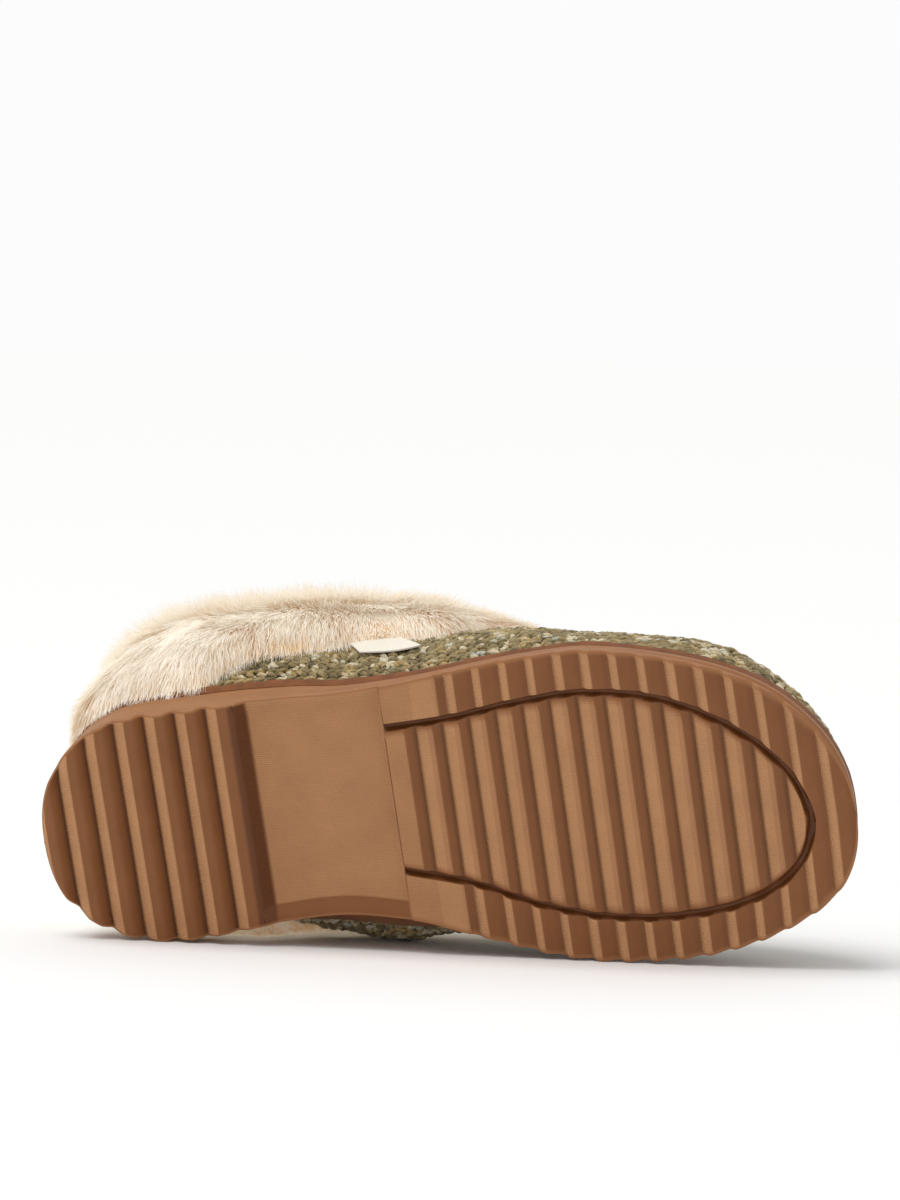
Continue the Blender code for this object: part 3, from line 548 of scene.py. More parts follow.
def channel_edge(x, side, widen):
    """One wall of the channel, as y. widen is half the channel's width, or minus that for the island's side."""
    share = x / SOLE_LENGTH
    middle = OUTER * BALL_WIDTH * smooth(CHANNEL_ROWS, CHANNEL_COLUMNS, "middle", share)
    half = BALL_WIDTH * smooth(CHANNEL_ROWS, CHANNEL_COLUMNS, "half_width", share) + widen
    end = rounded_end(channel_end() + widen - x, CHANNEL_CORNER, CHANNEL_FULLNESS)
    return middle + side * half * end


def half_loop(turns):
    """0 at the toe to 1 at the heel, and the side, for places round the shoe."""
    turns = np.asarray(turns) % 1
    outer = turns <= 0.5
    return np.where(outer, 2 * turns, 2 * (1 - turns)), np.where(outer, OUTER, INNER)


def base_loop(turns):
    """Where the knit meets the sole, the way out of it in plan, and the place along the sole."""
    share, sides = half_loop(turns)
    x = SOLE_LENGTH * (1 + np.cos(math.pi * share)) / 2
    points = np.zeros((len(x), 3))
    outward = np.zeros((len(x), 3))
    for side in (OUTER, INNER):
        chosen = sides == side
        inset = side_taper(x[chosen], side) + FOXING_THICKNESS + 2 * CLEARANCE
        foot = np.column_stack(edge(x[chosen], side, inset))
        points[chosen, :2] = foot
        outward[chosen, :2] = np.column_stack(edge(x[chosen], side, inset - 1)) - foot
    points[:, 2] = rubber_top(points[:, 0]) + CLEARANCE
    return points, outward, x / SOLE_LENGTH


def collar_loop(turns):
    """The collar's edge in the middle of the wall's height, and the place along the collar."""
    share, sides = half_loop(turns)
    along = (1 + np.cos(math.pi * share**COLLAR_LAG)) / 2
    x = COLLAR_BACK + COLLAR_LENGTH * along
    heel = rounded_end(x - COLLAR_BACK, COLLAR_HEEL_CORNER, COLLAR_FULLNESS)
    throat = rounded_end(COLLAR_BACK + COLLAR_LENGTH - x, COLLAR_THROAT_CORNER, COLLAR_FULLNESS)
    y = OUTER * COLLAR_OFFSET + sides * COLLAR_WIDTH / 2 * heel * throat
    rise = smooth(CUFF_ROWS, CUFF_COLUMNS, "rise", along)
    z = COLLAR_HEEL_HEIGHT + rise * (INSTEP_HEIGHT - COLLAR_HEEL_HEIGHT)
    return np.column_stack([x, y, z]), along


def wall_points(turns, shares):
    """Points on the outside of the knit, this share of the way up the wall from the sole to the collar.

    shares has a row for each place round the shoe, and is measured along the wall.
    """
    base, outward, along = base_loop(turns)
    collar, _ = collar_loop(turns)
    power = 2 / smooth(WALL_ROWS, WALL_COLUMNS, "roundness", along)[:, None]
    angle = np.linspace(0, math.pi / 2, PROFILE_STEPS)[None, :]
    rise = np.sin(angle) ** power
    travel = 1 - np.cos(angle) ** power
    _, sides = half_loop(turns)
    outer = smooth(WALL_ROWS, WALL_COLUMNS, "outer_bulge", along)
    inner = smooth(WALL_ROWS, WALL_COLUMNS, "inner_bulge", along)
    swell = np.sin(math.pi * rise) * (1 + BULGE_LOW * np.cos(math.pi * rise))
    bulge = BALL_WIDTH * np.where(sides == OUTER, outer, inner)[:, None] * swell
    way = collar - base
    profile = base[:, None, :] + travel[..., None] * way[:, None, :] * (1, 1, 0)
    profile = profile + rise[..., None] * way[:, None, :] * (0, 0, 1)
    profile = profile + bulge[..., None] * outward[:, None, :]
    lengths = np.linalg.norm(np.diff(profile, axis=1), axis=2)
    run = np.concatenate([np.zeros((len(base), 1)), np.cumsum(lengths, axis=1)], axis=1)
    shares = np.broadcast_to(shares, (len(base), np.shape(shares)[-1]))
    found = np.zeros((*shares.shape, 3))
    for column in range(len(base)):
        wanted = np.clip(shares[column], 0, 1) * run[column, -1]
        for axis in range(3):
            found[column, :, axis] = np.interp(wanted, run[column], profile[column, :, axis])
    return found


def wall_lengths(turns):
    """Length of the wall from the sole to the collar at each place round the shoe."""
    points = wall_points(turns, np.linspace(0, 1, PROFILE_STEPS))
    return np.linalg.norm(np.diff(points, axis=1), axis=2).sum(axis=1)


def wall_frames(turns, shares):
    """Points of the wall with its outward normal and the direction up the wall."""
    turns = np.asarray(turns, float)
    shares = np.broadcast_to(shares, (len(turns), np.shape(shares)[-1]))
    small_turn = 0.006
    small_share = 0.02
    round_shoe = wall_points(turns + small_turn, shares) - wall_points(turns - small_turn, shares)
    up = wall_points(turns, np.minimum(shares + small_share, 1))
    up = up - wall_points(turns, np.maximum(shares - small_share, 0))
    up /= np.linalg.norm(up, axis=2)[..., None]
    normal = np.cross(up, round_shoe)
    normal /= np.linalg.norm(normal, axis=2)[..., None]
    return wall_points(turns, shares), normal, up


def wall_offset(turns, shares, offset):
    """Points this far outside the knit's outer face, or inside it where offset is negative."""
    points, normal, _ = wall_frames(turns, shares)
    return points + np.asarray(offset)[..., None] * normal


def share_at_rise(turns, rise):
    """The share of the wall at which it stands this high above the rubber."""
    shares = np.linspace(0, 1, PROFILE_STEPS)
    points = wall_points(turns, shares)
    heights = points[..., 2] - points[:, :1, 2]
    return np.array([np.interp(rise, column, shares) for column in heights])[:, None]


def foot_offset(turns, offset):
    """Where the surface this far outside the knit's outer face, carried on down the wall, meets the sole."""
    start, normal, up = (part[:, 0] for part in wall_frames(turns, np.zeros(1)))
    start = start + offset * normal
    foot = start
    for _ in range(3):
        level = rubber_top(foot[:, 0]) + CLEARANCE
        foot = start + ((level - start[:, 2]) / up[:, 2])[:, None] * up
    foot[:, 2] = rubber_top(foot[:, 0]) + CLEARANCE
    return foot


def columns_round(count):
    """This many places round the shoe, as even turns."""
    return np.arange(count) / count


def floor_plane():
    """The plane the shoe lies on: a point of it, and the way through it out of the shoe.

    It holds the line that touches the inner edge of the tread at the heel and at the ball, and leans by LEAN.
    """
    x, y, _ = OUTLINES[INNER]
    back = x < 0.4 * SOLE_LENGTH
    slope = 0.0
    for _ in range(6):
        beyond = y - slope * x
        heel = np.argmax(np.where(back, beyond, -np.inf))
        ball = np.argmax(np.where(back, -np.inf, beyond))
        slope = (y[ball] - y[heel]) / (x[ball] - x[heel])
    lean = math.radians(LEAN)
    side = np.array([-slope, 1, 0]) / math.hypot(slope, 1)
    return np.array([x[ball], y[ball], 0]), math.cos(lean) * side - (0, 0, math.sin(lean))


def pressed(points):
    """The same points, with what lies past the floor's plane pressed back to it."""
    at, down = floor_plane()
    past = np.maximum((points - at) @ down, 0)
    return points - (1 - PILE_PRESSED) * past[..., None] * down


def soft(directions):
    """The same directions, each evened out with those beside it round the shoe."""
    for _ in range(5):
        directions = directions + (np.roll(directions, 1, axis=0) + np.roll(directions, -1, axis=0)) / 2
    return directions / np.linalg.norm(directions, axis=1)[:, None]


def pile_points(turns, share, offset):
    """Points this far outside the knit's outer face, on directions that are evened out round the shoe."""
    points, normal, _ = wall_frames(turns, share[:, None])
    return points[:, 0] + offset[:, None] * soft(normal[:, 0])


def quads(sections, points, first=0, closed=True):
    """Faces between neighbouring sections of this many points. closed also joins the last section to the first."""
    faces = []
    for section in range(sections if closed else sections - 1):
        here = first + section * points
        there = first + (section + 1) % sections * points
        for point in range(points):
            beside = (point + 1) % points
            faces.append((here + point, here + beside, there + beside, there + point))
    return faces


def step_between(low, high, value):
    """A soft step: 0 up to low, 1 from high."""
    t = np.clip((value - low) / (high - low), 0, 1)
    return t * t * (3 - 2 * t)


def placed(points):
    """Points of the upright shoe in millimetres, with the heel drawn in, laid down as the frame is, in metres."""
    points = np.array(points, float)
    along = points[..., 0]
    height = points[..., 2] - rubber_top(np.clip(along, 0, SOLE_LENGTH))
    drawn = (1 - step_between(0, HEEL_DRAW_END, along)) * step_between(HEEL_DRAW_FROM, HEEL_DRAW_FULL, height)
    points[..., 0] += HEEL_DRAW * drawn
    return points * MM @ TURN.T + SHIFT


def turned(directions):
    """Directions of the upright shoe, as they run in the frame."""
    return np.asarray(directions) @ TURN.T


def linear(code, alpha=1.0):
    """An sRGB hex colour as the linear colour that Blender wants."""
    parts = [int(code[i : i + 2], 16) / 255 for i in (1, 3, 5)]
    return (*[c / 12.92 if c <= 0.04045 else ((c + 0.055) / 1.055) ** 2.4 for c in parts], alpha)


def add(tree, kind, inputs=None, **settings):
    """A node with its settings. An input is a value, or the output of another node."""
    node = tree.nodes.new(kind)
    for name, value in settings.items():
        setattr(node, name, value)
    for name, value in (inputs or {}).items():
        if isinstance(value, bpy.types.NodeSocket):
            tree.links.new(value, node.inputs[name])
        else:
            node.inputs[name].default_value = value
    return node


def cells(size):
    """Scale of a noise or cell pattern, on coordinates in metres, with features this many millimetres wide."""
    return 1 / (size * MM)


def surface(name, colour, roughness, **shader_values):
    """A material with one Principled shader, its tree and that shader. The colour is linear."""
    material = bpy.data.materials.new(name)
    material.use_nodes = True
    tree = material.node_tree
    shader = tree.nodes["Principled BSDF"]
    shader.inputs["Base Color"].default_value = colour
    shader.inputs["Roughness"].default_value = roughness
    for socket, value in shader_values.items():
        shader.inputs[socket.replace("_", " ")].default_value = value
    return material, tree, shader


def moulded_rubber(sizes):
    """Moulded blown rubber: matte and warm where grained, darker and a little glossy where smooth, in part painted
    light.
    """
    material, tree, shader = surface("moulded_rubber", sizes.rubber_grained_lit, 0.5, Specular_IOR_Level=0.3)
    place = add(tree, "ShaderNodeAttribute", attribute_name="tread").outputs["Vector"]
    grained, deep, pale = (
        add(tree, "ShaderNodeAttribute", attribute_name=name).outputs["Fac"] for name in ("grain", "deep", "pale")
    )
    # Two sets of fine ridges cross in the mould's grain and make rows of dots
    along = {"Vector": place, "Scale": WAVE_PERIOD / GRAIN_ALONG, "Distortion": 0.5, "Detail": 1.0}
    across = {"Vector": place, "Scale": WAVE_PERIOD / GRAIN_ACROSS, "Distortion": 0.3, "Detail": 1.0}
    lines = add(tree, "ShaderNodeTexWave", along, bands_direction="X")
    rows = add(tree, "ShaderNodeTexWave", across, bands_direction="Y")
    dots = add(tree, "ShaderNodeMath", {0: lines.outputs["Fac"], 1: rows.outputs["Fac"]}, operation="MULTIPLY")
    marked = add(tree, "ShaderNodeMath", {0: dots.outputs[0], 1: grained}, operation="MULTIPLY")
    fine = add(tree, "ShaderNodeTexNoise", {"Vector": place, "Scale": 1 / GRAIN_ROUGH, "Detail": 4.0})
    worn = add(tree, "ShaderNodeTexNoise", {"Vector": place, "Scale": 1 / WEAR_SIZE, "Detail": 3.0})
    # Smooth or grained rubber, partly painted light, then the grain's scuffed tops, then painted shade in the grooves
    # Partly painted light: grained ramps facing the light are paler, smooth falls facing away darker
    plain = add(
        tree,
        "ShaderNodeMix",
        {"Factor": pale, "A": sizes.rubber_smooth_shaded, "B": sizes.rubber_grained_lit},
        data_type="RGBA",
    )
    dust = add(tree, "ShaderNodeMath", {0: marked.outputs[0], 1: 0.85}, operation="MULTIPLY")
    scuffed = add(
        tree,
        "ShaderNodeMix",
        {"Factor": dust.outputs[0], "A": plain.outputs["Result"], "B": sizes.rubber_worn},
        data_type="RGBA",
    )
    # Painted shade: the grooves, the channel and the falls of the ribs are darkened by the deep attribute
    hollow = add(
        tree,
        "ShaderNodeMix",
        {"Factor": deep, "A": scuffed.outputs["Result"], "B": sizes.rubber_painted_shade},
        data_type="RGBA",
    )
    uneven = add(tree, "ShaderNodeMapRange", {"Value": worn.outputs["Fac"], 1: 0.3, 2: 0.7, 3: 0.94, 4: 1.05})
    tone = add(tree, "ShaderNodeHueSaturation", {"Value": uneven.outputs[0], "Color": hollow.outputs["Result"]})
    tree.links.new(tone.outputs[0], shader.inputs["Base Color"])
    rough = add(tree, "ShaderNodeMapRange", {"Value": grained, 3: 0.42, 4: 0.72})
    tree.links.new(rough.outputs[0], shader.inputs["Roughness"])
    low = add(tree, "ShaderNodeBump", {"Strength": 0.25, "Distance": 0.2 * MM, "Height": fine.outputs["Fac"]})
    bump = add(
        tree,
        "ShaderNodeBump",
        {"Strength": 0.8, "Distance": 0.3 * MM, "Height": marked.outputs[0], "Normal": low.outputs[0]},
    )
    tree.links.new(bump.outputs[0], shader.inputs["Normal"])
    return material


def brushed_suede(sizes):
    """Split leather with a raised nap: no gloss, soft blotches, and a light rim where the nap catches light."""
    material, tree, shader = surface(
        "brushed_suede", sizes.suede, 0.95, Sheen_Weight=0.08, Sheen_Roughness=0.6, Specular_IOR_Level=0.15
    )
    place = add(tree, "ShaderNodeTexCoord").outputs["Object"]
    # Tufts of the nap, about 1 mm, and blotches where it lies this way or that
    nap = add(tree, "ShaderNodeTexNoise", {"Vector": place, "Scale": cells(1.11), "Detail": 6.0, "Roughness": 0.7})
    blotch = add(tree, "ShaderNodeTexNoise", {"Vector": place, "Scale": cells(6.25), "Detail": 3.0})
    shade = add(tree, "ShaderNodeMapRange", {"Value": blotch.outputs["Fac"], 1: 0.3, 2: 0.7, 3: 0.8, 4: 1.2})
    tone = add(tree, "ShaderNodeHueSaturation", {"Value": shade.outputs[0], "Color": sizes.suede})
    tree.links.new(tone.outputs[0], shader.inputs["Base Color"])
    bump = add(tree, "ShaderNodeBump", {"Strength": 0.7, "Distance": 0.4 * MM, "Height": nap.outputs["Fac"]})
    tree.links.new(bump.outputs[0], shader.inputs["Normal"])
    return material


def heather_yarn(sizes, name="heather_yarn"):
    """Soft plied yarn of mixed fibres: olive with cream, mustard and blue-green flecks, matte and a bit hairy."""
    material, tree, shader = surface(
        name, sizes.yarn_base, 0.95, Sheen_Weight=0.25, Sheen_Roughness=0.5, Specular_IOR_Level=0.2
    )
    place = add(tree, "ShaderNodeTexCoord").outputs["Object"]
    # Flecks about 3 mm long, in runs of twice that
    flecks = add(tree, "ShaderNodeTexVoronoi", {"Vector": place, "Scale": cells(3.03)}, feature="F1")
    runs = add(tree, "ShaderNodeTexNoise", {"Vector": place, "Scale": cells(6.667), "Detail": 5.0, "Roughness": 0.75})
    chance = add(tree, "ShaderNodeSeparateColor", {"Color": flecks.outputs["Color"]})
    both = add(tree, "ShaderNodeMath", {0: runs.outputs["Fac"], 1: chance.outputs["Red"]}, operation="ADD")
    half = add(tree, "ShaderNodeMath", {0: both.outputs[0], 1: 0.5}, operation="MULTIPLY")
    ramp = add(tree, "ShaderNodeValToRGB", {"Fac": half.outputs[0]})
    colours = (
        (0.18, sizes.yarn_dark),
        (0.34, sizes.yarn_base),
        (0.48, sizes.yarn_light),
        (0.54, sizes.yarn_base),
        (0.62, sizes.yarn_mustard),
        (0.70, sizes.yarn_cream),
        (0.82, sizes.yarn_blue),
    )
    stops = ramp.color_ramp.elements
    while len(stops) < len(colours):
        stops.new(0.5)
    for stop, (at, colour) in zip(stops, colours):
        stop.position = at
        stop.color = colour
    tree.links.new(ramp.outputs["Color"], shader.inputs["Base Color"])
    # Single fibres are far finer than this. They are drawn as coarse as they need to show.
    fibres = add(
        tree, "ShaderNodeTexNoise", {"Vector": place, "Scale": cells(0.667), "Detail": 4.0, "Roughness": 0.8}
    )
    bump = add(tree, "ShaderNodeBump", {"Strength": 0.9, "Distance": 0.4 * MM, "Height": fibres.outputs["Fac"]})
    tree.links.new(bump.outputs[0], shader.inputs["Normal"])
    return material


def long_pile(sizes):
    """Sheared pile fabric: cream tips, golden roots, soft, with a painted glow for the light scattered inside it."""
    material, tree, shader = surface(
        "long_pile", sizes.pile_tip, 0.9, Sheen_Weight=0.2, Sheen_Roughness=0.5, Specular_IOR_Level=0.15
    )
    tip, zone = (
        add(tree, "ShaderNodeAttribute", attribute_name=name).outputs["Fac"] for name in ("tip", "zone")
    )
    place = add(tree, "ShaderNodeTexCoord").outputs["Object"]
    # Locks about 11 mm wide show more of their roots or less, and the last rows before the hem show most of them
    locks = add(tree, "ShaderNodeTexNoise", {"Vector": place, "Scale": cells(11.11), "Detail": 3.0})
    spread = add(tree, "ShaderNodeMapRange", {"Value": locks.outputs["Fac"], 1: 0.3, 2: 0.7, 3: -0.25, 4: 0.25})
    hem = add(tree, "ShaderNodeMapRange", {"Value": zone, 1: 20.0, 2: 23.5, 3: 0.0, 4: -0.6})
    low = add(tree, "ShaderNodeMath", {0: spread.outputs[0], 1: hem.outputs[0]}, operation="ADD")
    height = add(tree, "ShaderNodeMath", {0: tip, 1: low.outputs[0]}, operation="ADD", use_clamp=True)
    ramp = add(tree, "ShaderNodeValToRGB", {"Fac": height.outputs[0]})
    for stop, at, colour in zip(ramp.color_ramp.elements, (0.0, 0.45), (sizes.pile_root, sizes.pile_tip)):
        stop.position = at
        stop.color = colour
    tree.links.new(ramp.outputs["Color"], shader.inputs["Base Color"])
    # Painted glow: the pile gives off a little light of its own colour, in place of light scattered inside it
    tree.links.new(ramp.outputs["Color"], shader.inputs["Emission Color"])
    shader.inputs["Emission Strength"].default_value = sizes.pile_painted_glow
    return material


def fleece(sizes):
    """Short curled lining: cream, matte, with a crumbly surface."""
    material, tree, shader = surface(
        "fleece_lining", sizes.lining, 0.95, Sheen_Weight=0.4, Specular_IOR_Level=0.1
    )
    place = add(tree, "ShaderNodeTexCoord").outputs["Object"]
    # Curls of about 2 mm
    curls = add(tree, "ShaderNodeTexVoronoi", {"Vector": place, "Scale": cells(2.222)}, feature="SMOOTH_F1")
    bump = add(
        tree,
        "ShaderNodeBump",
        {"Strength": 0.8, "Distance": 1.0 * MM, "Height": curls.outputs["Distance"]},
        invert=True,
    )
    tree.links.new(bump.outputs[0], shader.inputs["Normal"])
    return material


def woven_ribbon(sizes):
    """Woven tape: fine, even and slightly shiny in its weave."""
    material, tree, shader = surface("woven_ribbon", sizes.ribbon, 0.7, Sheen_Weight=0.15)
    place = add(tree, "ShaderNodeTexCoord").outputs["Object"]
    # Threads 0.45 mm apart
    weave = {"Vector": place, "Scale": WAVE_PERIOD * cells(0.449), "Distortion": 0.5}
    threads = add(tree, "ShaderNodeTexWave", weave)
    bump = add(tree, "ShaderNodeBump", {"Strength": 0.5, "Distance": 0.2 * MM, "Height": threads.outputs["Fac"]})
    tree.links.new(bump.outputs[0], shader.inputs["Normal"])
    return material


def linked(name, data):
    """A new object with this mesh, light or camera, in the scene."""
    item = bpy.data.objects.new(name, data)
    bpy.context.scene.collection.objects.link(item)
    return item


def piece_from(name, points, faces, material, sharp=None, attributes=()):
    """A finished piece from points of the upright shoe. Coinciding points become one and normals face out.

    sharp is the angle in degrees from which an edge stays sharp. attributes are rows of name, kind and values.
    """
    mesh = bpy.data.meshes.new(name)
    mesh.from_pydata(placed(points).tolist(), [], faces)
    for label, kind, values in attributes:
        layer = mesh.attributes.new(label, kind, "POINT")
        field = "vector" if kind == "FLOAT_VECTOR" else "value"
        layer.data.foreach_set(field, np.asarray(values, float).ravel())
    work = bmesh.new()
    work.from_mesh(mesh)
    bmesh.ops.remove_doubles(work, verts=work.verts, dist=0.002 * MM)
    bmesh.ops.dissolve_degenerate(work, edges=work.edges, dist=0.001 * MM)
    bmesh.ops.recalc_face_normals(work, faces=work.faces)
    work.to_mesh(mesh)
    work.free()
    mesh.materials.append(material)
    mesh.shade_smooth()
    if sharp:
        mesh.set_sharp_from_angle(angle=math.radians(sharp))
    return linked(name, mesh)


def settle(piece, slot, *nodes):
    """Ties a piece to the frame: it rides on the one body, and the frame's nodes given here are hidden."""
    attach(piece, "root")
    if nodes:
        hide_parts(*nodes)
    return piece


def rounded_profile(profile, x, radius):
    """A profile with its corners rounded over this many millimetres each way."""
    return sum(profile(x + step) for step in np.linspace(-radius, radius, 7)) / 7


def fine_stations(sizes):
    """Places along the sole: even on the tread, and closer and closer at both ends."""
    ends = np.linspace(0, 1, END_SECTIONS) ** 2
    heel = HEEL_END * ends
    toe = SOLE_LENGTH - TOE_END * ends[::-1]
    return np.concatenate([heel[:-1], np.arange(HEEL_END, SOLE_LENGTH - TOE_END, sizes.tread_step / MM), toe])


def rubber_side(x, side, edge_depth):
    """Points of one side of the rubber, from the tread's rounded edge up to its top."""
    top = rubber_top(x)
    taper = side_taper(x, side)
    rows = []
    for inset, rise in EDGE_PROFILE:
        along, across = edge(x, side, taper * edge_depth / top + inset)
        rows.append(np.column_stack([along, across, ground(x) + edge_depth + rise]))
    low = ground(x) + edge_depth + EDGE_PROFILE[-1][1]
    lip = top - BEAD_HEIGHT - 0.2
    for share in SIDE_SHARES:
        height = low + share * (lip - low)
        inset = taper * height / top + bead_step(x) * step_between(0.3, 1.0, share)
        along, across = edge(x, side, inset)
        rows.append(np.column_stack([along, across, height]))
    for below, step in BEAD_PROFILE:
        inset = taper * (1 - below / top) + (bead_step(x) * step if below > 1 else step)
        along, across = edge(x, side, inset)
        rows.append(np.column_stack([along, across, rubber_top(along) - below]))
    return rows


def tread_shades(x, rim, island):
    """Painted shade of the tread's hollows and rib falls, 0 to 1, on the rim and on the island."""
    heel_end = heel_block_end()
    breast_foot = heel_end + BREAST_SLOPE
    forefoot = x >= forefoot_start()
    breast = step_between(heel_end - 1.2, heel_end - 0.2, x)
    breast = breast * step_between(-breast_foot - 0.4, -breast_foot + 0.8, -x)
    grooves = step_between(0.58, 0.92, rim / HEEL_RIB_DEPTH) * (x < heel_end - 0.5)
    falls = 0.35 * step_between(0.6, 1.0, rim / RIM_RIB_DEPTH)
    on_rim = np.where(forefoot, falls, np.maximum(grooves, breast))
    on_island = np.where(forefoot, step_between(0.68, 1.0, island / ISLAND_RIB_DEPTH), on_rim)
    return on_rim, on_island


def tread_rows(x, side, sizes):
    """Points of one half of the tread, from its edge to its middle, with the grain and painted shade of each."""
    level = ground(x)
    rim = rounded_profile(rim_depth, x, sizes.rib_rounding / MM)
    island = rounded_profile(island_depth, x, sizes.rib_rounding / MM)
    half = CHANNEL_WIDTH / 2
    end = channel_end()
    arch = (x > heel_block_end() + 1) & (x < forefoot_start())
    forefoot = x >= forefoot_start() + BLOCK_WALL / 2
    in_channel = forefoot & (x < end + half)
    beyond_island = forefoot & (x >= end - half)
    # The channel's two walls. On the heel and the arch, where it has none, they stand for the border and the middle.
    centre = np.where(forefoot, channel_edge(np.minimum(x, end), 0, 0), sole_middle(x))
    border = sole_middle(x) + side * np.maximum(sole_half_width(x) - BORDER_WIDTH, 0)
    outer_wall = np.where(in_channel, channel_edge(x, side, half), centre)
    outer_wall = np.where(forefoot, outer_wall, border)
    inner_wall = np.where(forefoot & (x < end - half), channel_edge(x, side, -half), centre)
    inner_wall = np.where(forefoot, inner_wall, outer_wall + 0.35 * (centre - outer_wall))
    edge_depth = np.where(arch, np.maximum(rim - ARCH_BORDER_RISE, 0), rim)
    start_x, start_y = edge(x, side, side_taper(x, side) * edge_depth / rubber_top(x) + EDGE_INSET)
    rim_grain = grain_of(x, RIM_FIRST_GROOVE, RIM_GRAIN)
    island_grain = grain_of(x, ISLAND_FIRST_GROOVE, ISLAND_GRAIN)
    rim_shade, island_shade = tread_shades(x, rim, island)
    nose = step_between(0, 0.68, 1 - np.abs(x - end) / half)
    rows, grains, shades = [], [], []
    for share in np.linspace(0, 1, RIM_ROWS + 1)[1:]:
        depth = edge_depth + (rim - edge_depth) * step_between(0.25, 1.0, share)
        across = start_y + share * (outer_wall - start_y)
        along = start_x + share * (x - start_x)
        rows.append(np.column_stack([along, across, level + depth]))
        grains.append(np.where(arch, 1.0 if side == OUTER else 0.0, rim_grain))
        shades.append(rim_shade)
    for share in CHANNEL_SHARES:
        closing = np.maximum(step_between(0, 0.34, 1 - share), np.where(x > end - half, nose, 0))
        hollow = CHANNEL_DEPTH * step_between(0, 0.34, share) * closing
        beside, shade = (rim, rim_shade) if share < 0.5 else (island, island_shade)
        depth = np.where(in_channel, np.maximum(beside, hollow), np.where(forefoot, rim, island))
        across = outer_wall + share * (inner_wall - outer_wall)
        rows.append(np.column_stack([x, across, level + depth]))
        grains.append(np.where(arch, 1.0, np.where(in_channel, 0.0, rim_grain)))
        # Painted shade deepens towards the channel's floor
        sunk = step_between(0.0, 0.35, hollow / CHANNEL_DEPTH)
        shades.append(np.where(in_channel, np.maximum(sunk, shade), rim_shade))
    middle_grain = np.where(x < end - half, island_grain, np.where(x < end + half, 0, rim_grain))
    middle_shade = np.where(beyond_island, np.where(x < end + half, nose, rim_shade), island_shade)
    for share in np.linspace(0, 1, ISLAND_ROWS + 1)[1:]:
        base = np.where(x < end, island, rim)
        depth = np.where(beyond_island, np.maximum(base, CHANNEL_DEPTH * nose), island)
        across = inner_wall + share * (centre - inner_wall)
        rows.append(np.column_stack([x, across, level + depth]))
        grains.append(np.where(arch, 1.0, middle_grain))
        shades.append(middle_shade)
    return rows, grains, shades, edge_depth


def grain_of(x, first_groove, shape):
    """How grained the tread is at x: 1 on the ramps of the ribs, 0 on their smooth falls, more on lines of dots."""
    place = (x - forefoot_start() - first_groove) / RIB_PITCH
    sixths = np.array(shape)[np.floor(place % 1 * 6).astype(int) % 6]
    sixths = np.where(place % 1 < DOTTED_LINE / RIB_PITCH, FOREFOOT_DOTS, sixths)
    phase = (x - HEEL_FIRST_GROOVE + HEEL_GROOVE_WALL / 2) % HEEL_RIB_PITCH
    heel = ((phase > HEEL_GROOVE_WALL) & (phase < 0.7 * HEEL_RIB_PITCH)).astype(float)
    heel = np.where((phase > HEEL_GROOVE_WALL) & (phase < HEEL_GROOVE_WALL + DOTTED_LINE), HEEL_DOTS, heel)
    heel = np.where(x > heel_block_end() - 0.5, 0, heel)
    return np.where(x < forefoot_start(), heel, np.where(place < RAMP_START, 0.9, sixths))


def build_outsole(sizes):
    """The rubber unit as one skin of sides and tread, with its grain, painted shade and paleness as attributes."""
    x = fine_stations(sizes)
    halves = {}
    for side in (OUTER, INNER):
        inner, grains, shades, edge_depth = tread_rows(x, side, sizes)
        outer = rubber_side(x, side, edge_depth)
        plain = [np.zeros(len(x))] * len(outer)
        halves[side] = (outer[::-1] + inner, plain + grains, plain + shades)
    rows, grains, shades = (halves[OUTER][part] + halves[INNER][part][::-1] for part in range(3))
    sections = np.stack(rows, axis=1)
    points = sections.reshape(-1, 3)
    faces = quads(len(x), sections.shape[1], closed=False)
    grain = np.stack(grains, axis=1)
    # Paler where grained: partly the finish, partly painted light on the ramps that face the light
    pale = grain.copy()
    in_arch = (x > heel_block_end() + 1) & (x < forefoot_start() + RIM_FIRST_GROOVE / 2)
    pale[in_arch] *= ARCH_PALE
    pale[:, : len(outer)] = pale[:, -len(outer) :] = SIDE_PALE
    # deep carries the painted shade of the hollows; pale is partly the finish and partly painted light
    attributes = (
        ("tread", "FLOAT_VECTOR", points),
        ("grain", "FLOAT", grain),
        ("deep", "FLOAT", np.stack(shades, axis=1)),
        ("pale", "FLOAT", np.clip(pale, 0, 1)),
    )
    piece = piece_from("rubber_sole", points, faces, moulded_rubber(sizes), 50, attributes)
    return settle(piece, "tan_rubber", "outsole")


def build_foxing(sizes):
    """The suede strip: a rounded top edge, and edges that waver a little as cut suede does."""
    turns = columns_round(FOXING_COLUMNS)
    angle = 2 * math.pi * turns
    waver = sum(depth * np.sin(count * angle + start) for depth, count, start in WAVERS)
    near = CLEARANCE + 0.1
    section = []
    lengths = wall_lengths(turns)
    for rise, out in FOXING_PROFILE:
        share = share_at_rise(turns, rise)[:, 0] + (waver / lengths if rise > WAVER_FROM else 0)
        section.append(wall_offset(turns, share[:, None], near + out * FOXING_THICKNESS))
    low_far = foot_offset(turns, near + FOXING_THICKNESS)[:, None]
    low_near = foot_offset(turns, near)[:, None]
    sections = np.concatenate([low_far, *section, low_near], axis=1)
    faces = quads(FOXING_COLUMNS, sections.shape[1])
    piece = piece_from("suede_foxing", sections.reshape(-1, 3), faces, brushed_suede(sizes), 60)
    return settle(piece, "tan_suede", "foxing")


def fleece_grid(points, normals, seed, depth):
    """Moves the points of a grid in and out, as a curly lining does."""
    rng = np.random.default_rng(seed)
    return points + depth * rng.uniform(-1, 1, points.shape[:-1])[..., None] * normals


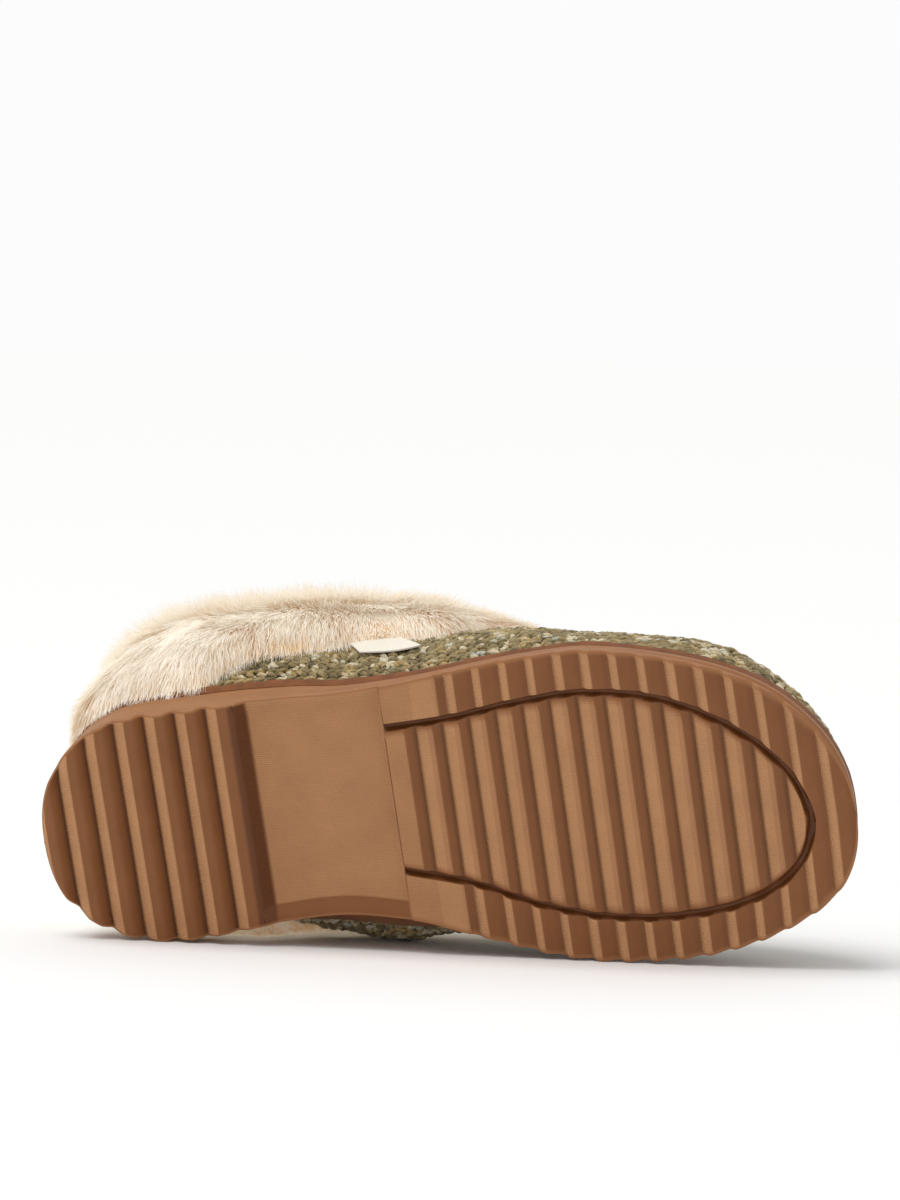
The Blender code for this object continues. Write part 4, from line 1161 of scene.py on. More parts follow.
def swell(turns, shares):
    """How far the knit stands out of its plain wall, in millimetres."""
    turns = np.asarray(turns)[:, None]
    total = np.zeros(np.broadcast_shapes(turns.shape, np.shape(shares)))
    for turn, share, height, width, tall in SWELLS:
        round_shoe = (turns - turn + 0.5) % 1 - 0.5
        total += height * np.exp(-((round_shoe / width) ** 2) - ((shares - share) / tall) ** 2)
    free = np.clip(np.asarray(shares) * 8, 0, 1)
    return total * free


def build_upper(sizes):
    """The knit's backing wall and its lining, one closed shell."""
    backing = sizes.knit_backing / MM
    turns = columns_round(BACKING_COLUMNS)
    shares = np.linspace(0, 1, BACKING_ROWS + 1)
    outside, normal, _ = wall_frames(turns, shares)
    outside = outside + (swell(turns, shares) - backing)[..., None] * normal
    outside[:, 0] = foot_offset(turns, -backing)
    inside = fleece_grid(wall_offset(turns, shares, -KNIT_WALL), normal, 3, LINING_CURLS)
    inside[:, 0] = foot_offset(turns, -KNIT_WALL)
    sections = np.concatenate([outside, inside[:, ::-1]], axis=1)
    faces = quads(BACKING_COLUMNS, sections.shape[1])
    piece = piece_from("knit_backing", sections.reshape(-1, 3), faces, heather_yarn(sizes, "heather_ground"), 70)
    piece.data.materials.append(fleece(sizes))
    middle = Vector(placed(wall_points(turns, shares).reshape(-1, 3)).mean(axis=0))
    for face in piece.data.polygons:
        if (face.center - middle).dot(face.normal) < 0:
            face.material_index = 1
    return settle(piece, "olive_knit", "upper")


def even_turns(count, share):
    """Places round the shoe, evenly spaced along the wall at this share of its height."""
    fine = columns_round(1440)
    loop = wall_points(fine, np.array([share]))[:, 0]
    steps = np.linalg.norm(np.roll(loop, -1, axis=0) - loop, axis=1)
    run = np.concatenate([[0], np.cumsum(steps)])
    return np.interp(columns_round(count) * run[-1], run, np.append(fine, 1)), run[-1]


def hem_shares(turns):
    """The share of the wall at which the cuff's hem hangs. On the inner side behind the ball it hangs lowest."""
    _, along = collar_loop(turns)
    foxing_top = share_at_rise(turns, FOXING_HEIGHT + CLEARANCE)[:, 0]
    hang = smooth(CUFF_ROWS, CUFF_COLUMNS, "hang", along)
    x = wall_points(turns, np.array([0.2]))[:, 0, 0]
    low = (turns > 0.5) * step_between(15, 40, x) * (1 - step_between(60, 78, x))
    hang = hang + low * (np.maximum(hang, 0.97) - hang)
    return 1 - hang * (1 - foxing_top)


def stitch_cloud(sizes):
    """A point for each stitch that shows, with its directions and size, as a mesh for the stitch nodes.

    The chains of stitches run round the shoe, one above the other.
    """
    chain_width = sizes.chain_width / MM
    turns, _ = even_turns(sizes.stitches_round, 0.45)
    lengths = wall_lengths(turns)
    hems = hem_shares(turns)
    rng = np.random.default_rng(11)
    spots, outs, rounds, scales = [], [], [], []
    for chain in range(int(max(lengths) / chain_width)):
        share = (FIRST_CHAIN + chain * chain_width) / lengths
        kept = share < np.minimum(hems + UNDER_HEM / lengths, 0.99)
        if not kept.any():
            continue
        share = np.minimum(share, 1)[:, None]
        points, normal, _ = (part[:, 0] for part in wall_frames(turns, share))
        beside = np.roll(points, -1, axis=0) - np.roll(points, 1, axis=0)
        spacing = np.linalg.norm(beside, axis=1) / 2
        raised = points + (swell(turns, share) - STITCH_SEAT) * normal
        shaken = rng.normal(0, STITCH_STRAY, points.shape)
        spots.append((raised + shaken)[kept])
        outs.append((normal + rng.normal(0, 0.07, points.shape))[kept])
        rounds.append((beside / spacing[:, None] / 2 + rng.normal(0, 0.05, points.shape))[kept])
        loose = rng.uniform(0.9, 1.1, (len(points), 3))
        loose[:, 1] *= spacing / (sizes.stitch_length / MM)
        scales.append(loose[kept])
    mesh = bpy.data.meshes.new("stitch_places")
    mesh.from_pydata(placed(np.concatenate(spots)).tolist(), [], [])
    vectors = (
        ("out", turned(np.concatenate(outs))),
        ("along", turned(np.concatenate(rounds))),
        ("stitch_size", np.concatenate(scales)),
    )
    for label, values in vectors:
        layer = mesh.attributes.new(label, "FLOAT_VECTOR", "POINT")
        layer.data.foreach_set("vector", values.ravel())
    return linked("knit_stitches", mesh)


def new_tree(name, labels):
    """A geometry node tree with a geometry input, these float inputs and a geometry output.

    Gives the tree, the incoming geometry, the other inputs in their order, and the group's output node.
    """
    tree = bpy.data.node_groups.new(name, "GeometryNodeTree")
    tree.interface.new_socket("Geometry", in_out="INPUT", socket_type="NodeSocketGeometry")
    for label in labels:
        tree.interface.new_socket(label, in_out="INPUT", socket_type="NodeSocketFloat")
    tree.interface.new_socket("Geometry", in_out="OUTPUT", socket_type="NodeSocketGeometry")
    given = add(tree, "NodeGroupInput").outputs
    return tree, given["Geometry"], [given[label] for label in labels], add(tree, "NodeGroupOutput")


def grow(piece, tree, values, name):
    """Runs a node tree on a piece, turns the result to a plain mesh and takes the modifier away."""
    modifier = piece.modifiers.new(tree.name, "NODES")
    modifier.node_group = tree
    for item in tree.interface.items_tree:
        if item.in_out == "INPUT" and item.name in values:
            modifier[item.identifier] = values[item.name]
    bpy.context.view_layer.update()
    evaluated = piece.evaluated_get(bpy.context.evaluated_depsgraph_get())
    mesh = bpy.data.meshes.new_from_object(evaluated)
    if not len(mesh.polygons):
        raise RuntimeError(name + " has no faces")
    piece.modifiers.remove(modifier)
    mesh.name = name
    return linked(name, mesh)


def stitch_tree(material):
    """A stitch is two plump legs of yarn in a V, bowed out in their middle, laid on each point of the cloud."""
    labels = ("Yarn radius", "Half width", "Half height", "Arch")
    tree, cloud, (radius, width, height, arch), result = new_tree("Knit stitches", labels)
    both = add(tree, "GeometryNodeJoinGeometry")
    low = add(tree, "ShaderNodeMath", {0: height, 1: -1.12}, operation="MULTIPLY").outputs[0]
    for side in (-1.0, 1.0):
        inner, belly, outer = (
            add(tree, "ShaderNodeMath", {0: width, 1: side * share}, operation="MULTIPLY").outputs[0]
            for share in (0.22, 0.72, 0.98)
        )
        start = add(tree, "ShaderNodeCombineXYZ", {"X": inner, "Y": low, "Z": 0.0})
        middle = add(tree, "ShaderNodeCombineXYZ", {"X": belly, "Y": 0.0, "Z": arch})
        end = add(tree, "ShaderNodeCombineXYZ", {"X": outer, "Y": height, "Z": 0.0})
        leg = add(
            tree,
            "GeometryNodeCurveQuadraticBezier",
            {"Resolution": 4, "Start": start.outputs[0], "Middle": middle.outputs[0], "End": end.outputs[0]},
        )
        tree.links.new(leg.outputs[0], both.inputs[0])
    along = add(tree, "GeometryNodeSplineParameter").outputs["Factor"]
    wave = add(tree, "ShaderNodeMath", {0: along, 1: math.pi}, operation="MULTIPLY")
    plump = add(tree, "ShaderNodeMath", {0: wave.outputs[0]}, operation="SINE")
    share = add(tree, "ShaderNodeMapRange", {"Value": plump.outputs[0], 3: 0.5, 4: 1.0})
    thick = add(tree, "ShaderNodeMath", {0: share.outputs[0], 1: radius}, operation="MULTIPLY")
    ring = add(tree, "GeometryNodeCurvePrimitiveCircle", {"Resolution": 5, "Radius": 1.0})
    yarn = add(
        tree,
        "GeometryNodeCurveToMesh",
        {
            "Curve": both.outputs[0],
            "Profile Curve": ring.outputs[0],
            "Scale": thick.outputs[0],
            "Fill Caps": True,
        },
    )
    rounded = add(tree, "GeometryNodeSetShadeSmooth", {"Geometry": yarn.outputs[0]})
    out, up, size = (
        add(tree, "GeometryNodeInputNamedAttribute", {"Name": name}, data_type="FLOAT_VECTOR").outputs["Attribute"]
        for name in ("out", "along", "stitch_size")
    )
    turn = add(
        tree,
        "FunctionNodeAxesToRotation",
        {"Primary Axis": out, "Secondary Axis": up},
        primary_axis="Z",
        secondary_axis="Y",
    )
    stitches = add(
        tree,
        "GeometryNodeInstanceOnPoints",
        {"Points": cloud, "Instance": rounded.outputs[0], "Rotation": turn.outputs[0], "Scale": size},
    )
    real = add(tree, "GeometryNodeRealizeInstances", {"Geometry": stitches.outputs[0]})
    done = add(tree, "GeometryNodeSetMaterial", {"Geometry": real.outputs[0], "Material": material})
    tree.links.new(done.outputs[0], result.inputs[0])
    return tree


def build_stitches(sizes):
    """The knit's stitches, as one mesh of yarn."""
    cloud = stitch_cloud(sizes)
    values = {
        "Yarn radius": sizes.yarn_radius,
        "Half width": sizes.chain_width / 2,
        "Half height": sizes.stitch_length / 2,
        "Arch": STITCH_ARCH * MM,
    }
    piece = grow(cloud, stitch_tree(heather_yarn(sizes)), values, "knit_yarn")
    bpy.data.objects.remove(cloud, do_unlink=True)
    keep_off_floor(piece)
    return settle(piece, "olive_knit")


def thinning(points):
    """How much the long pile lies down, 0 to 1: behind the heel, and where the cuff runs out on the outer side."""
    x, y = points[:, 0], points[:, 1]
    heel = step_between(-20, 3, -x)
    front = step_between(118, 150, x) * step_between(-8, 8, -y)
    return np.maximum(heel, front)


def cuff_grid(count, offset):
    """The cuff's surface this far outside the solid's own: inner edge, over the collar, down to the hem."""
    turns, _ = even_turns(count, 0.999)
    lengths = wall_lengths(turns)
    hem = hem_shares(turns)
    turn_in = np.minimum(PILE_TURN_IN / lengths, 0.5)
    seat = np.full(count, CLEARANCE + 0.4)
    inside_seat = -KNIT_WALL - seat
    rim, normal, up = (part[:, 0] for part in wall_frames(turns, np.ones(1)))
    out, over = soft(soft(normal)), soft(soft(up))
    offset = offset - CUFF_THINNING * thinning(rim)
    rows = [wall_offset(turns, (1 - turn_in * 1.02)[:, None], (inside_seat - 0.5)[:, None])[:, 0]]
    for place in INSIDE_PLACES:
        share = 1 - turn_in * (0.25 + 0.75 * place)
        thick = PILE_INSIDE * (1 - 0.35 * place) + offset
        rows.append(pile_points(turns, share, inside_seat - thick))
    for angle in np.linspace(*CROWN_ANGLES) * math.pi:
        reach = np.interp(angle, (0, math.pi), (PILE_INSIDE, PILE_DEPTH)) + KNIT_WALL / 2 + offset
        centre = rim - KNIT_WALL / 2 * out
        rows.append(centre + reach[:, None] * (math.sin(angle) * over - math.cos(angle) * out))
    for place in np.linspace(0.1, 1.0, FALL_ROWS):
        share = 1 - place * (1 - hem)
        full = smooth(PILE_ROWS, PILE_COLUMNS, "fullness", 1 - place)
        thick = PILE_EDGE + full * (PILE_DEPTH - PILE_EDGE) + offset
        rows.append(pile_points(turns, share, seat + thick))
    rows.append(wall_offset(turns, hem[:, None], (seat + 0.5)[:, None])[:, 0])
    grid = np.stack(rows, axis=1)
    x, y = grid[..., 0], grid[..., 1]
    height = grid[..., 2] - rubber_top(np.clip(x, 0, SOLE_LENGTH))
    outer_rows = np.clip((np.arange(grid.shape[1]) - 5) / 5, 0, 1)
    spread = np.interp(x, *zip(*CUFF_SPREAD)) * step_between(6, 28, -y) * step_between(3, 24, height)
    grid[..., 1] -= spread * outer_rows
    return pressed(grid)


def combing(grid):
    """The way the pile is combed at each point of the cuff's grid: away from the collar's top, to both hems."""
    comb = np.zeros_like(grid)
    comb[:, 1:-1] = grid[:, 2:] - grid[:, :-2]
    comb[:, :CROWN_ROW] *= -1
    comb[:, 0] = comb[:, 1]
    comb[:, -1] = comb[:, -2]
    comb /= np.maximum(np.linalg.norm(comb, axis=2), 1e-6)[..., None]
    strength = np.clip(np.abs(np.arange(grid.shape[1]) - CROWN_ROW) / 3, 0, 1)
    return comb * strength[None, :, None]


def hair_lengths(grid, zone):
    """How long the pile is at each point of the cuff's grid, as a share: shorter by the tab, longer beneath."""
    x, y = grid[..., 0], grid[..., 1]
    back = step_between(-16, 4, -x)
    length = 1 - 0.35 * thinning(grid.reshape(-1, 3)).reshape(x.shape) - 0.25 * back
    beneath = step_between(5, 25, y) * step_between(30, 45, x) * step_between(-95, -80, -x)
    length = length + 0.35 * beneath * (zone > 18)
    tab = wall_points(np.array([TAB_PLACE]), np.array([0.5]))[0, 0]
    by_tab = np.exp(-(((x - tab[0]) / 11) ** 2)) * (y < 0) * (zone > 17)
    return length * (1 - 0.8 * by_tab)


def build_pile_ground(sizes):
    """The thick underfur: the cuff's own body, soft, under the long pile, with what the hair nodes read."""
    grid = cuff_grid(CUFF_COLUMNS_ROUND, -sizes.pile_root_depth / MM)
    inner = grid[:, 2:-1]
    grid[:, 2:-1] = (inner + np.roll(inner, 1, axis=0) + np.roll(inner, -1, axis=0)) / 3
    count, rows = grid.shape[:2]
    points = grid.reshape(-1, 3)
    fade = np.ones((count, rows))
    fade[:, 0] = fade[:, -1] = 0
    zone = np.repeat(np.arange(rows)[None, :], count, axis=0)
    attributes = (
        ("comb", "FLOAT_VECTOR", turned(combing(grid))),
        ("fade", "FLOAT", fade),
        ("zone", "FLOAT", zone),
        ("tip", "FLOAT", np.full((count, rows), 0.12)),
        ("hair", "FLOAT", hair_lengths(grid, zone)),
    )
    piece = piece_from("pile_ground", points, quads(count, rows), long_pile(sizes), None, attributes)
    return settle(piece, "cream_pile", "fur_collar")


def hair_direction(tree, normal, comb, lean, clumping):
    """The way a hair grows: out of the surface and along the comb, turned with its clump and a little astray."""
    leaning = add(tree, "ShaderNodeVectorMath", {0: comb, "Scale": lean}, operation="SCALE")
    place = add(tree, "GeometryNodeInputPosition").outputs[0]
    # Clumps about 13 mm wide
    noise = add(tree, "ShaderNodeTexNoise", {"Vector": place, "Scale": cells(13.333), "Detail": 1.0})
    centred = add(
        tree, "ShaderNodeVectorMath", {0: noise.outputs["Color"], 1: (0.5, 0.5, 0.5)}, operation="SUBTRACT"
    )
    clumps = add(tree, "ShaderNodeVectorMath", {0: centred.outputs[0], "Scale": clumping}, operation="SCALE")
    stray = add(
        tree,
        "FunctionNodeRandomValue",
        {0: (-0.2, -0.2, -0.2), 1: (0.2, 0.2, 0.2), "Seed": 7},
        data_type="FLOAT_VECTOR",
    )
    direction = normal
    for part in (leaning, clumps, stray):
        total = add(tree, "ShaderNodeVectorMath", {0: direction, 1: part.outputs[0]}, operation="ADD")
        direction = total.outputs[0]
    return direction


def hair_blade(tree):
    """One hair of unit length: a flat ribbon that bends over and tapers, and keeps its place from root to tip."""
    curve = add(
        tree,
        "GeometryNodeCurveQuadraticBezier",
        {"Resolution": 8, "Start": (0, 0, 0), "Middle": (0, 0.04, 0.55), "End": (0, 0.36, 0.97)},
    )
    few = add(tree, "GeometryNodeResampleCurve", {"Curve": curve.outputs[0], "Count": 3}, mode="COUNT")
    along = add(tree, "GeometryNodeSplineParameter").outputs["Factor"]
    marked = add(
        tree,
        "GeometryNodeStoreNamedAttribute",
        {"Geometry": few.outputs[0], "Name": "tip", "Value": along},
        data_type="FLOAT",
        domain="POINT",
    )
    narrow = add(tree, "ShaderNodeMapRange", {"Value": along, 3: 1.0, 4: 0.12})
    flat = add(tree, "GeometryNodeCurvePrimitiveLine", {"Start": (-0.5, 0, 0), "End": (0.5, 0, 0)})
    ribbon = add(
        tree,
        "GeometryNodeCurveToMesh",
        {"Curve": marked.outputs[0], "Profile Curve": flat.outputs[0], "Scale": narrow.outputs[0]},
    )
    return add(tree, "GeometryNodeSetShadeSmooth", {"Geometry": ribbon.outputs[0]}).outputs[0]


def hair_tree(material):
    """Tapered blades of hair, scattered on a surface and leaning along its comb direction, in clumps."""
    labels = ("Density", "Length", "Width", "Lean", "Clumping", "Zone low", "Zone high", "Seed")
    tree, ground_mesh, inputs, result = new_tree("Long pile", labels)
    density, length, width, lean, clumping, low, high, seed = inputs
    zone, fade, local = (
        add(tree, "GeometryNodeInputNamedAttribute", {"Name": name}, data_type="FLOAT").outputs["Attribute"]
        for name in ("zone", "fade", "hair")
    )
    above = add(tree, "FunctionNodeCompare", {0: zone, 1: low}, data_type="FLOAT", operation="GREATER_EQUAL")
    below = add(tree, "FunctionNodeCompare", {0: zone, 1: high}, data_type="FLOAT", operation="LESS_THAN")
    inside = add(tree, "FunctionNodeBooleanMath", {0: above.outputs[0], 1: below.outputs[0]}, operation="AND")
    dense = add(tree, "ShaderNodeMath", {0: density, 1: fade}, operation="MULTIPLY")
    whole = add(tree, "FunctionNodeFloatToInt", {0: seed})
    roots = add(
        tree,
        "GeometryNodeDistributePointsOnFaces",
        {
            "Mesh": ground_mesh,
            "Selection": inside.outputs[0],
            "Density": dense.outputs[0],
            "Seed": whole.outputs[0],
        },
        distribute_method="RANDOM",
    )
    comb = add(tree, "GeometryNodeInputNamedAttribute", {"Name": "comb"}, data_type="FLOAT_VECTOR")
    comb = comb.outputs["Attribute"]
    turn = add(
        tree,
        "FunctionNodeAxesToRotation",
        {
            "Primary Axis": hair_direction(tree, roots.outputs["Normal"], comb, lean, clumping),
            "Secondary Axis": comb,
        },
        primary_axis="Z",
        secondary_axis="Y",
    )
    roll = add(tree, "FunctionNodeRandomValue", {"Min": -0.6, "Max": 0.6, "Seed": 21}, data_type="FLOAT")
    spin = add(
        tree, "FunctionNodeAxisAngleToRotation", {"Axis": (0, 0, 1), "Angle": roll.outputs["Value"]}
    )
    rolled = add(
        tree,
        "FunctionNodeRotateRotation",
        {"Rotation": turn.outputs[0], "Rotate By": spin.outputs[0]},
        rotation_space="LOCAL",
    )
    vary = add(tree, "FunctionNodeRandomValue", {"Min": 0.7, "Max": 1.12, "Seed": 31}, data_type="FLOAT")
    varied = add(tree, "ShaderNodeMath", {0: length, 1: vary.outputs["Value"]}, operation="MULTIPLY")
    tall = add(tree, "ShaderNodeMath", {0: varied.outputs[0], 1: local}, operation="MULTIPLY")
    size = add(tree, "ShaderNodeCombineXYZ", {"X": width, "Y": tall.outputs[0], "Z": tall.outputs[0]})
    grown = add(
        tree,
        "GeometryNodeInstanceOnPoints",
        {
            "Points": roots.outputs["Points"],
            "Instance": hair_blade(tree),
            "Rotation": rolled.outputs[0],
            "Scale": size.outputs[0],
        },
    )
    real = add(tree, "GeometryNodeRealizeInstances", {"Geometry": grown.outputs[0]})
    done = add(tree, "GeometryNodeSetMaterial", {"Geometry": real.outputs[0], "Material": material})
    tree.links.new(done.outputs[0], result.inputs[0])
    return tree


def keep_off_floor(piece):
    """Lifts the points that reach under the floor back onto it, as hair and yarn that are lain on bend."""
    mesh = piece.data
    points = np.empty(len(mesh.vertices) * 3)
    mesh.vertices.foreach_get("co", points)
    points = points.reshape(-1, 3)
    under = points[:, 2] < FLOOR_GAP
    points[under, 2] = FLOOR_GAP + LAIN_ON * np.abs(np.sin(points[under, 0] * 4000))
    mesh.vertices.foreach_set("co", points.ravel())
    mesh.update()


def build_hair(sizes, ground_piece):
    """The long pile, in five pieces from inside the shoe over the collar to the hem."""
    tree = hair_tree(long_pile(sizes))
    for index, (name, low, high, length, dense) in enumerate(PILE_BANDS):
        values = {
            "Density": sizes.hair_density * dense / MM**2,
            "Length": sizes.hair_length * length,
            "Width": sizes.hair_width,
            "Lean": sizes.hair_lean,
            "Clumping": sizes.hair_clumping,
            "Zone low": float(low),
            "Zone high": float(high),
            "Seed": float(index + 3),
        }
        piece = grow(ground_piece, tree, values, name)
        keep_off_floor(piece)
        settle(piece, "cream_pile")


def build_insole(sizes):
    """The fleece footbed, hollowed along its middle."""
    count = FOOTBED_COLUMNS
    turns = columns_round(count)
    inset = -KNIT_WALL - INSOLE_CLEARANCE
    low = foot_offset(turns, inset)
    high = wall_offset(turns, share_at_rise(turns, INSOLE_THICKNESS), inset)[:, 0]
    across = -np.arange(count) % count
    rows = [low, high - (0, 0, FOOTBED_EDGE)]
    for share in np.linspace(0.0, 1.0, FOOTBED_RINGS):
        ring = high + share / 2 * (high[across] - high)
        rows.append(ring - (0, 0, INSOLE_DIP * math.sin(math.pi * share / 2)))
    grid = np.stack(rows, axis=1)
    rng = np.random.default_rng(5)
    grid[:, 2:-1, 2] += rng.uniform(-LINING_CURLS, LINING_CURLS, (count, FOOTBED_RINGS - 1))
    grid[:, -1] = grid[np.minimum(np.arange(count), across), -1]
    per = grid.shape[1]
    faces = []
    for column in range(count):
        beside = (column + 1) % count
        for row in range(per - 1):
            here, there = column * per + row, beside * per + row
            faces.append((here, there, there + 1, here + 1))
    for column in range(count // 2):
        faces.append((column * per, (column + 1) * per, (count - column - 1) * per, across[column] * per))
    piece = piece_from("fleece_footbed", grid.reshape(-1, 3), faces, fleece(sizes), 60)
    return settle(piece, "cream_footbed", "insole")


def build_tab(sizes):
    """The bare ribbon tab: it hangs from under the cuff over the stitches, slanted, its corners a little lifted."""
    across = np.linspace(-0.5, 0.5, TAB_COLUMNS)
    centre = np.array([TAB_PLACE])
    hem = hem_shares(centre)[0]
    length = wall_lengths(centre)[0]
    ends = wall_points(centre + (-0.002, 0.002), np.array([hem]))
    turn_for_mm = 0.004 / np.linalg.norm(ends[0, 0] - ends[1, 0])
    layers = []
    for depth in (0.0, TAB_DEPTH):
        for drop in np.linspace(-0.2, 1, TAB_ROWS):
            turns = TAB_PLACE + (sizes.tab_width / MM * across - TAB_SLANT * drop) * turn_for_mm
            share = np.array([hem - sizes.tab_drop / MM * drop / length])
            lift = TAB_LIFT + depth + TAB_CURL * max(drop, 0) ** 2 * (2 * across) ** 2
            lift = lift + swell(turns, share)[:, 0]
            layers.append(wall_offset(turns, share, lift[:, None])[:, 0])
    per_layer = TAB_ROWS * TAB_COLUMNS
    faces = []
    for row in range(TAB_ROWS - 1):
        for column in range(TAB_COLUMNS - 1):
            corner = row * TAB_COLUMNS + column
            face = (corner, corner + 1, corner + TAB_COLUMNS + 1, corner + TAB_COLUMNS)
            faces += [face, tuple(point + per_layer for point in face[::-1])]
    rim = [*range(TAB_COLUMNS), *(row * TAB_COLUMNS + TAB_COLUMNS - 1 for row in range(1, TAB_ROWS))]
    rim += [*range(per_layer - 2, (TAB_ROWS - 1) * TAB_COLUMNS - 1, -1)]
    rim += [row * TAB_COLUMNS for row in range(TAB_ROWS - 2, 0, -1)]
    for here, there in zip(rim, rim[1:] + rim[:1]):
        faces.append((here, there, there + per_layer, here + per_layer))
    piece = piece_from("ribbon_tab", np.concatenate(layers), faces, woven_ribbon(sizes), 40)
    return settle(piece, "cream_ribbon", "label_tab")


def build_floor():
    """Matte white paper under the shoe."""
    mesh = bpy.data.meshes.new("floor")
    corners = ((-1, -1), (1, -1), (1, 1), (-1, 1))
    mesh.from_pydata([(FLOOR_HALF * x, FLOOR_HALF * y, 0) for x, y in corners], [], [(0, 1, 2, 3)])
    material, _, _ = surface("white_paper", linear(FLOOR_WHITE), 0.9)
    mesh.materials.append(material)
    linked("floor", mesh)


def build_lights(sizes):
    """A white surround that lights less than it shows, one soft light from above and the left, and a softbox."""
    world = bpy.data.worlds.new("studio")
    bpy.context.scene.world = world
    world.use_nodes = True
    background = world.node_tree.nodes["Background"]
    background.inputs["Color"].default_value = (1, 1, 1, 1)
    seen = add(world.node_tree, "ShaderNodeLightPath").outputs["Is Camera Ray"]
    strength = add(world.node_tree, "ShaderNodeMapRange", {"Value": seen, 3: sizes.sky, 4: SEEN_SURROUND})
    world.node_tree.links.new(strength.outputs[0], background.inputs["Strength"])
    soft_sun = bpy.data.lights.new("window", "SUN")
    soft_sun.energy = sizes.window
    soft_sun.angle = sizes.window_width
    linked("window", soft_sun).rotation_euler = Vector(LIGHT_FROM).to_track_quat("Z", "Y").to_euler()
    softbox = bpy.data.lights.new("softbox", "AREA")
    softbox.size = SOFTBOX_SIDE
    softbox.energy = sizes.softbox
    lamp = linked("softbox", softbox)
    lamp.location = SOFTBOX_PLACE
    lamp.rotation_euler = lamp.location.to_track_quat("Z", "Y").to_euler()


def build_camera():
    """The camera at the photograph's angle, with its picture as tall at the shoe as the photograph's."""
    right = Vector(turned(PICTURE_RIGHT)).normalized()
    up = Vector(turned(PICTURE_UP))
    up = (up - up.dot(right) * right).normalized()
    back = right.cross(up)
    data = bpy.data.cameras.new("camera")
    data.sensor_width = SENSOR
    data.lens = SENSOR * CAMERA_DISTANCE / (PHOTO_HEIGHT / PHOTO_SCALE * MM)
    data.clip_end = SEES_TO
    camera = linked("camera", data)
    turn = Matrix((right, up, back)).transposed().to_4x4()
    aim = Vector(placed(LOOKS_AT))
    camera.matrix_world = Matrix.Translation(aim + back * CAMERA_DISTANCE) @ turn
    bpy.context.scene.camera = camera


def build_stage(sizes):
    """A pale floor, soft light, and the camera. Colours are shown as they are, without a film curve."""
    build_floor()
    build_lights(sizes)
    build_camera()
    bpy.context.scene.view_settings.view_transform = "Standard"


# What the kinds of values of the panel share
COLOUR = {"subtype": "COLOR", "size": 4, "min": 0.0, "max": 1.0}
LENGTH = {"subtype": "DISTANCE", "precision": 5, "min": 0.00001}


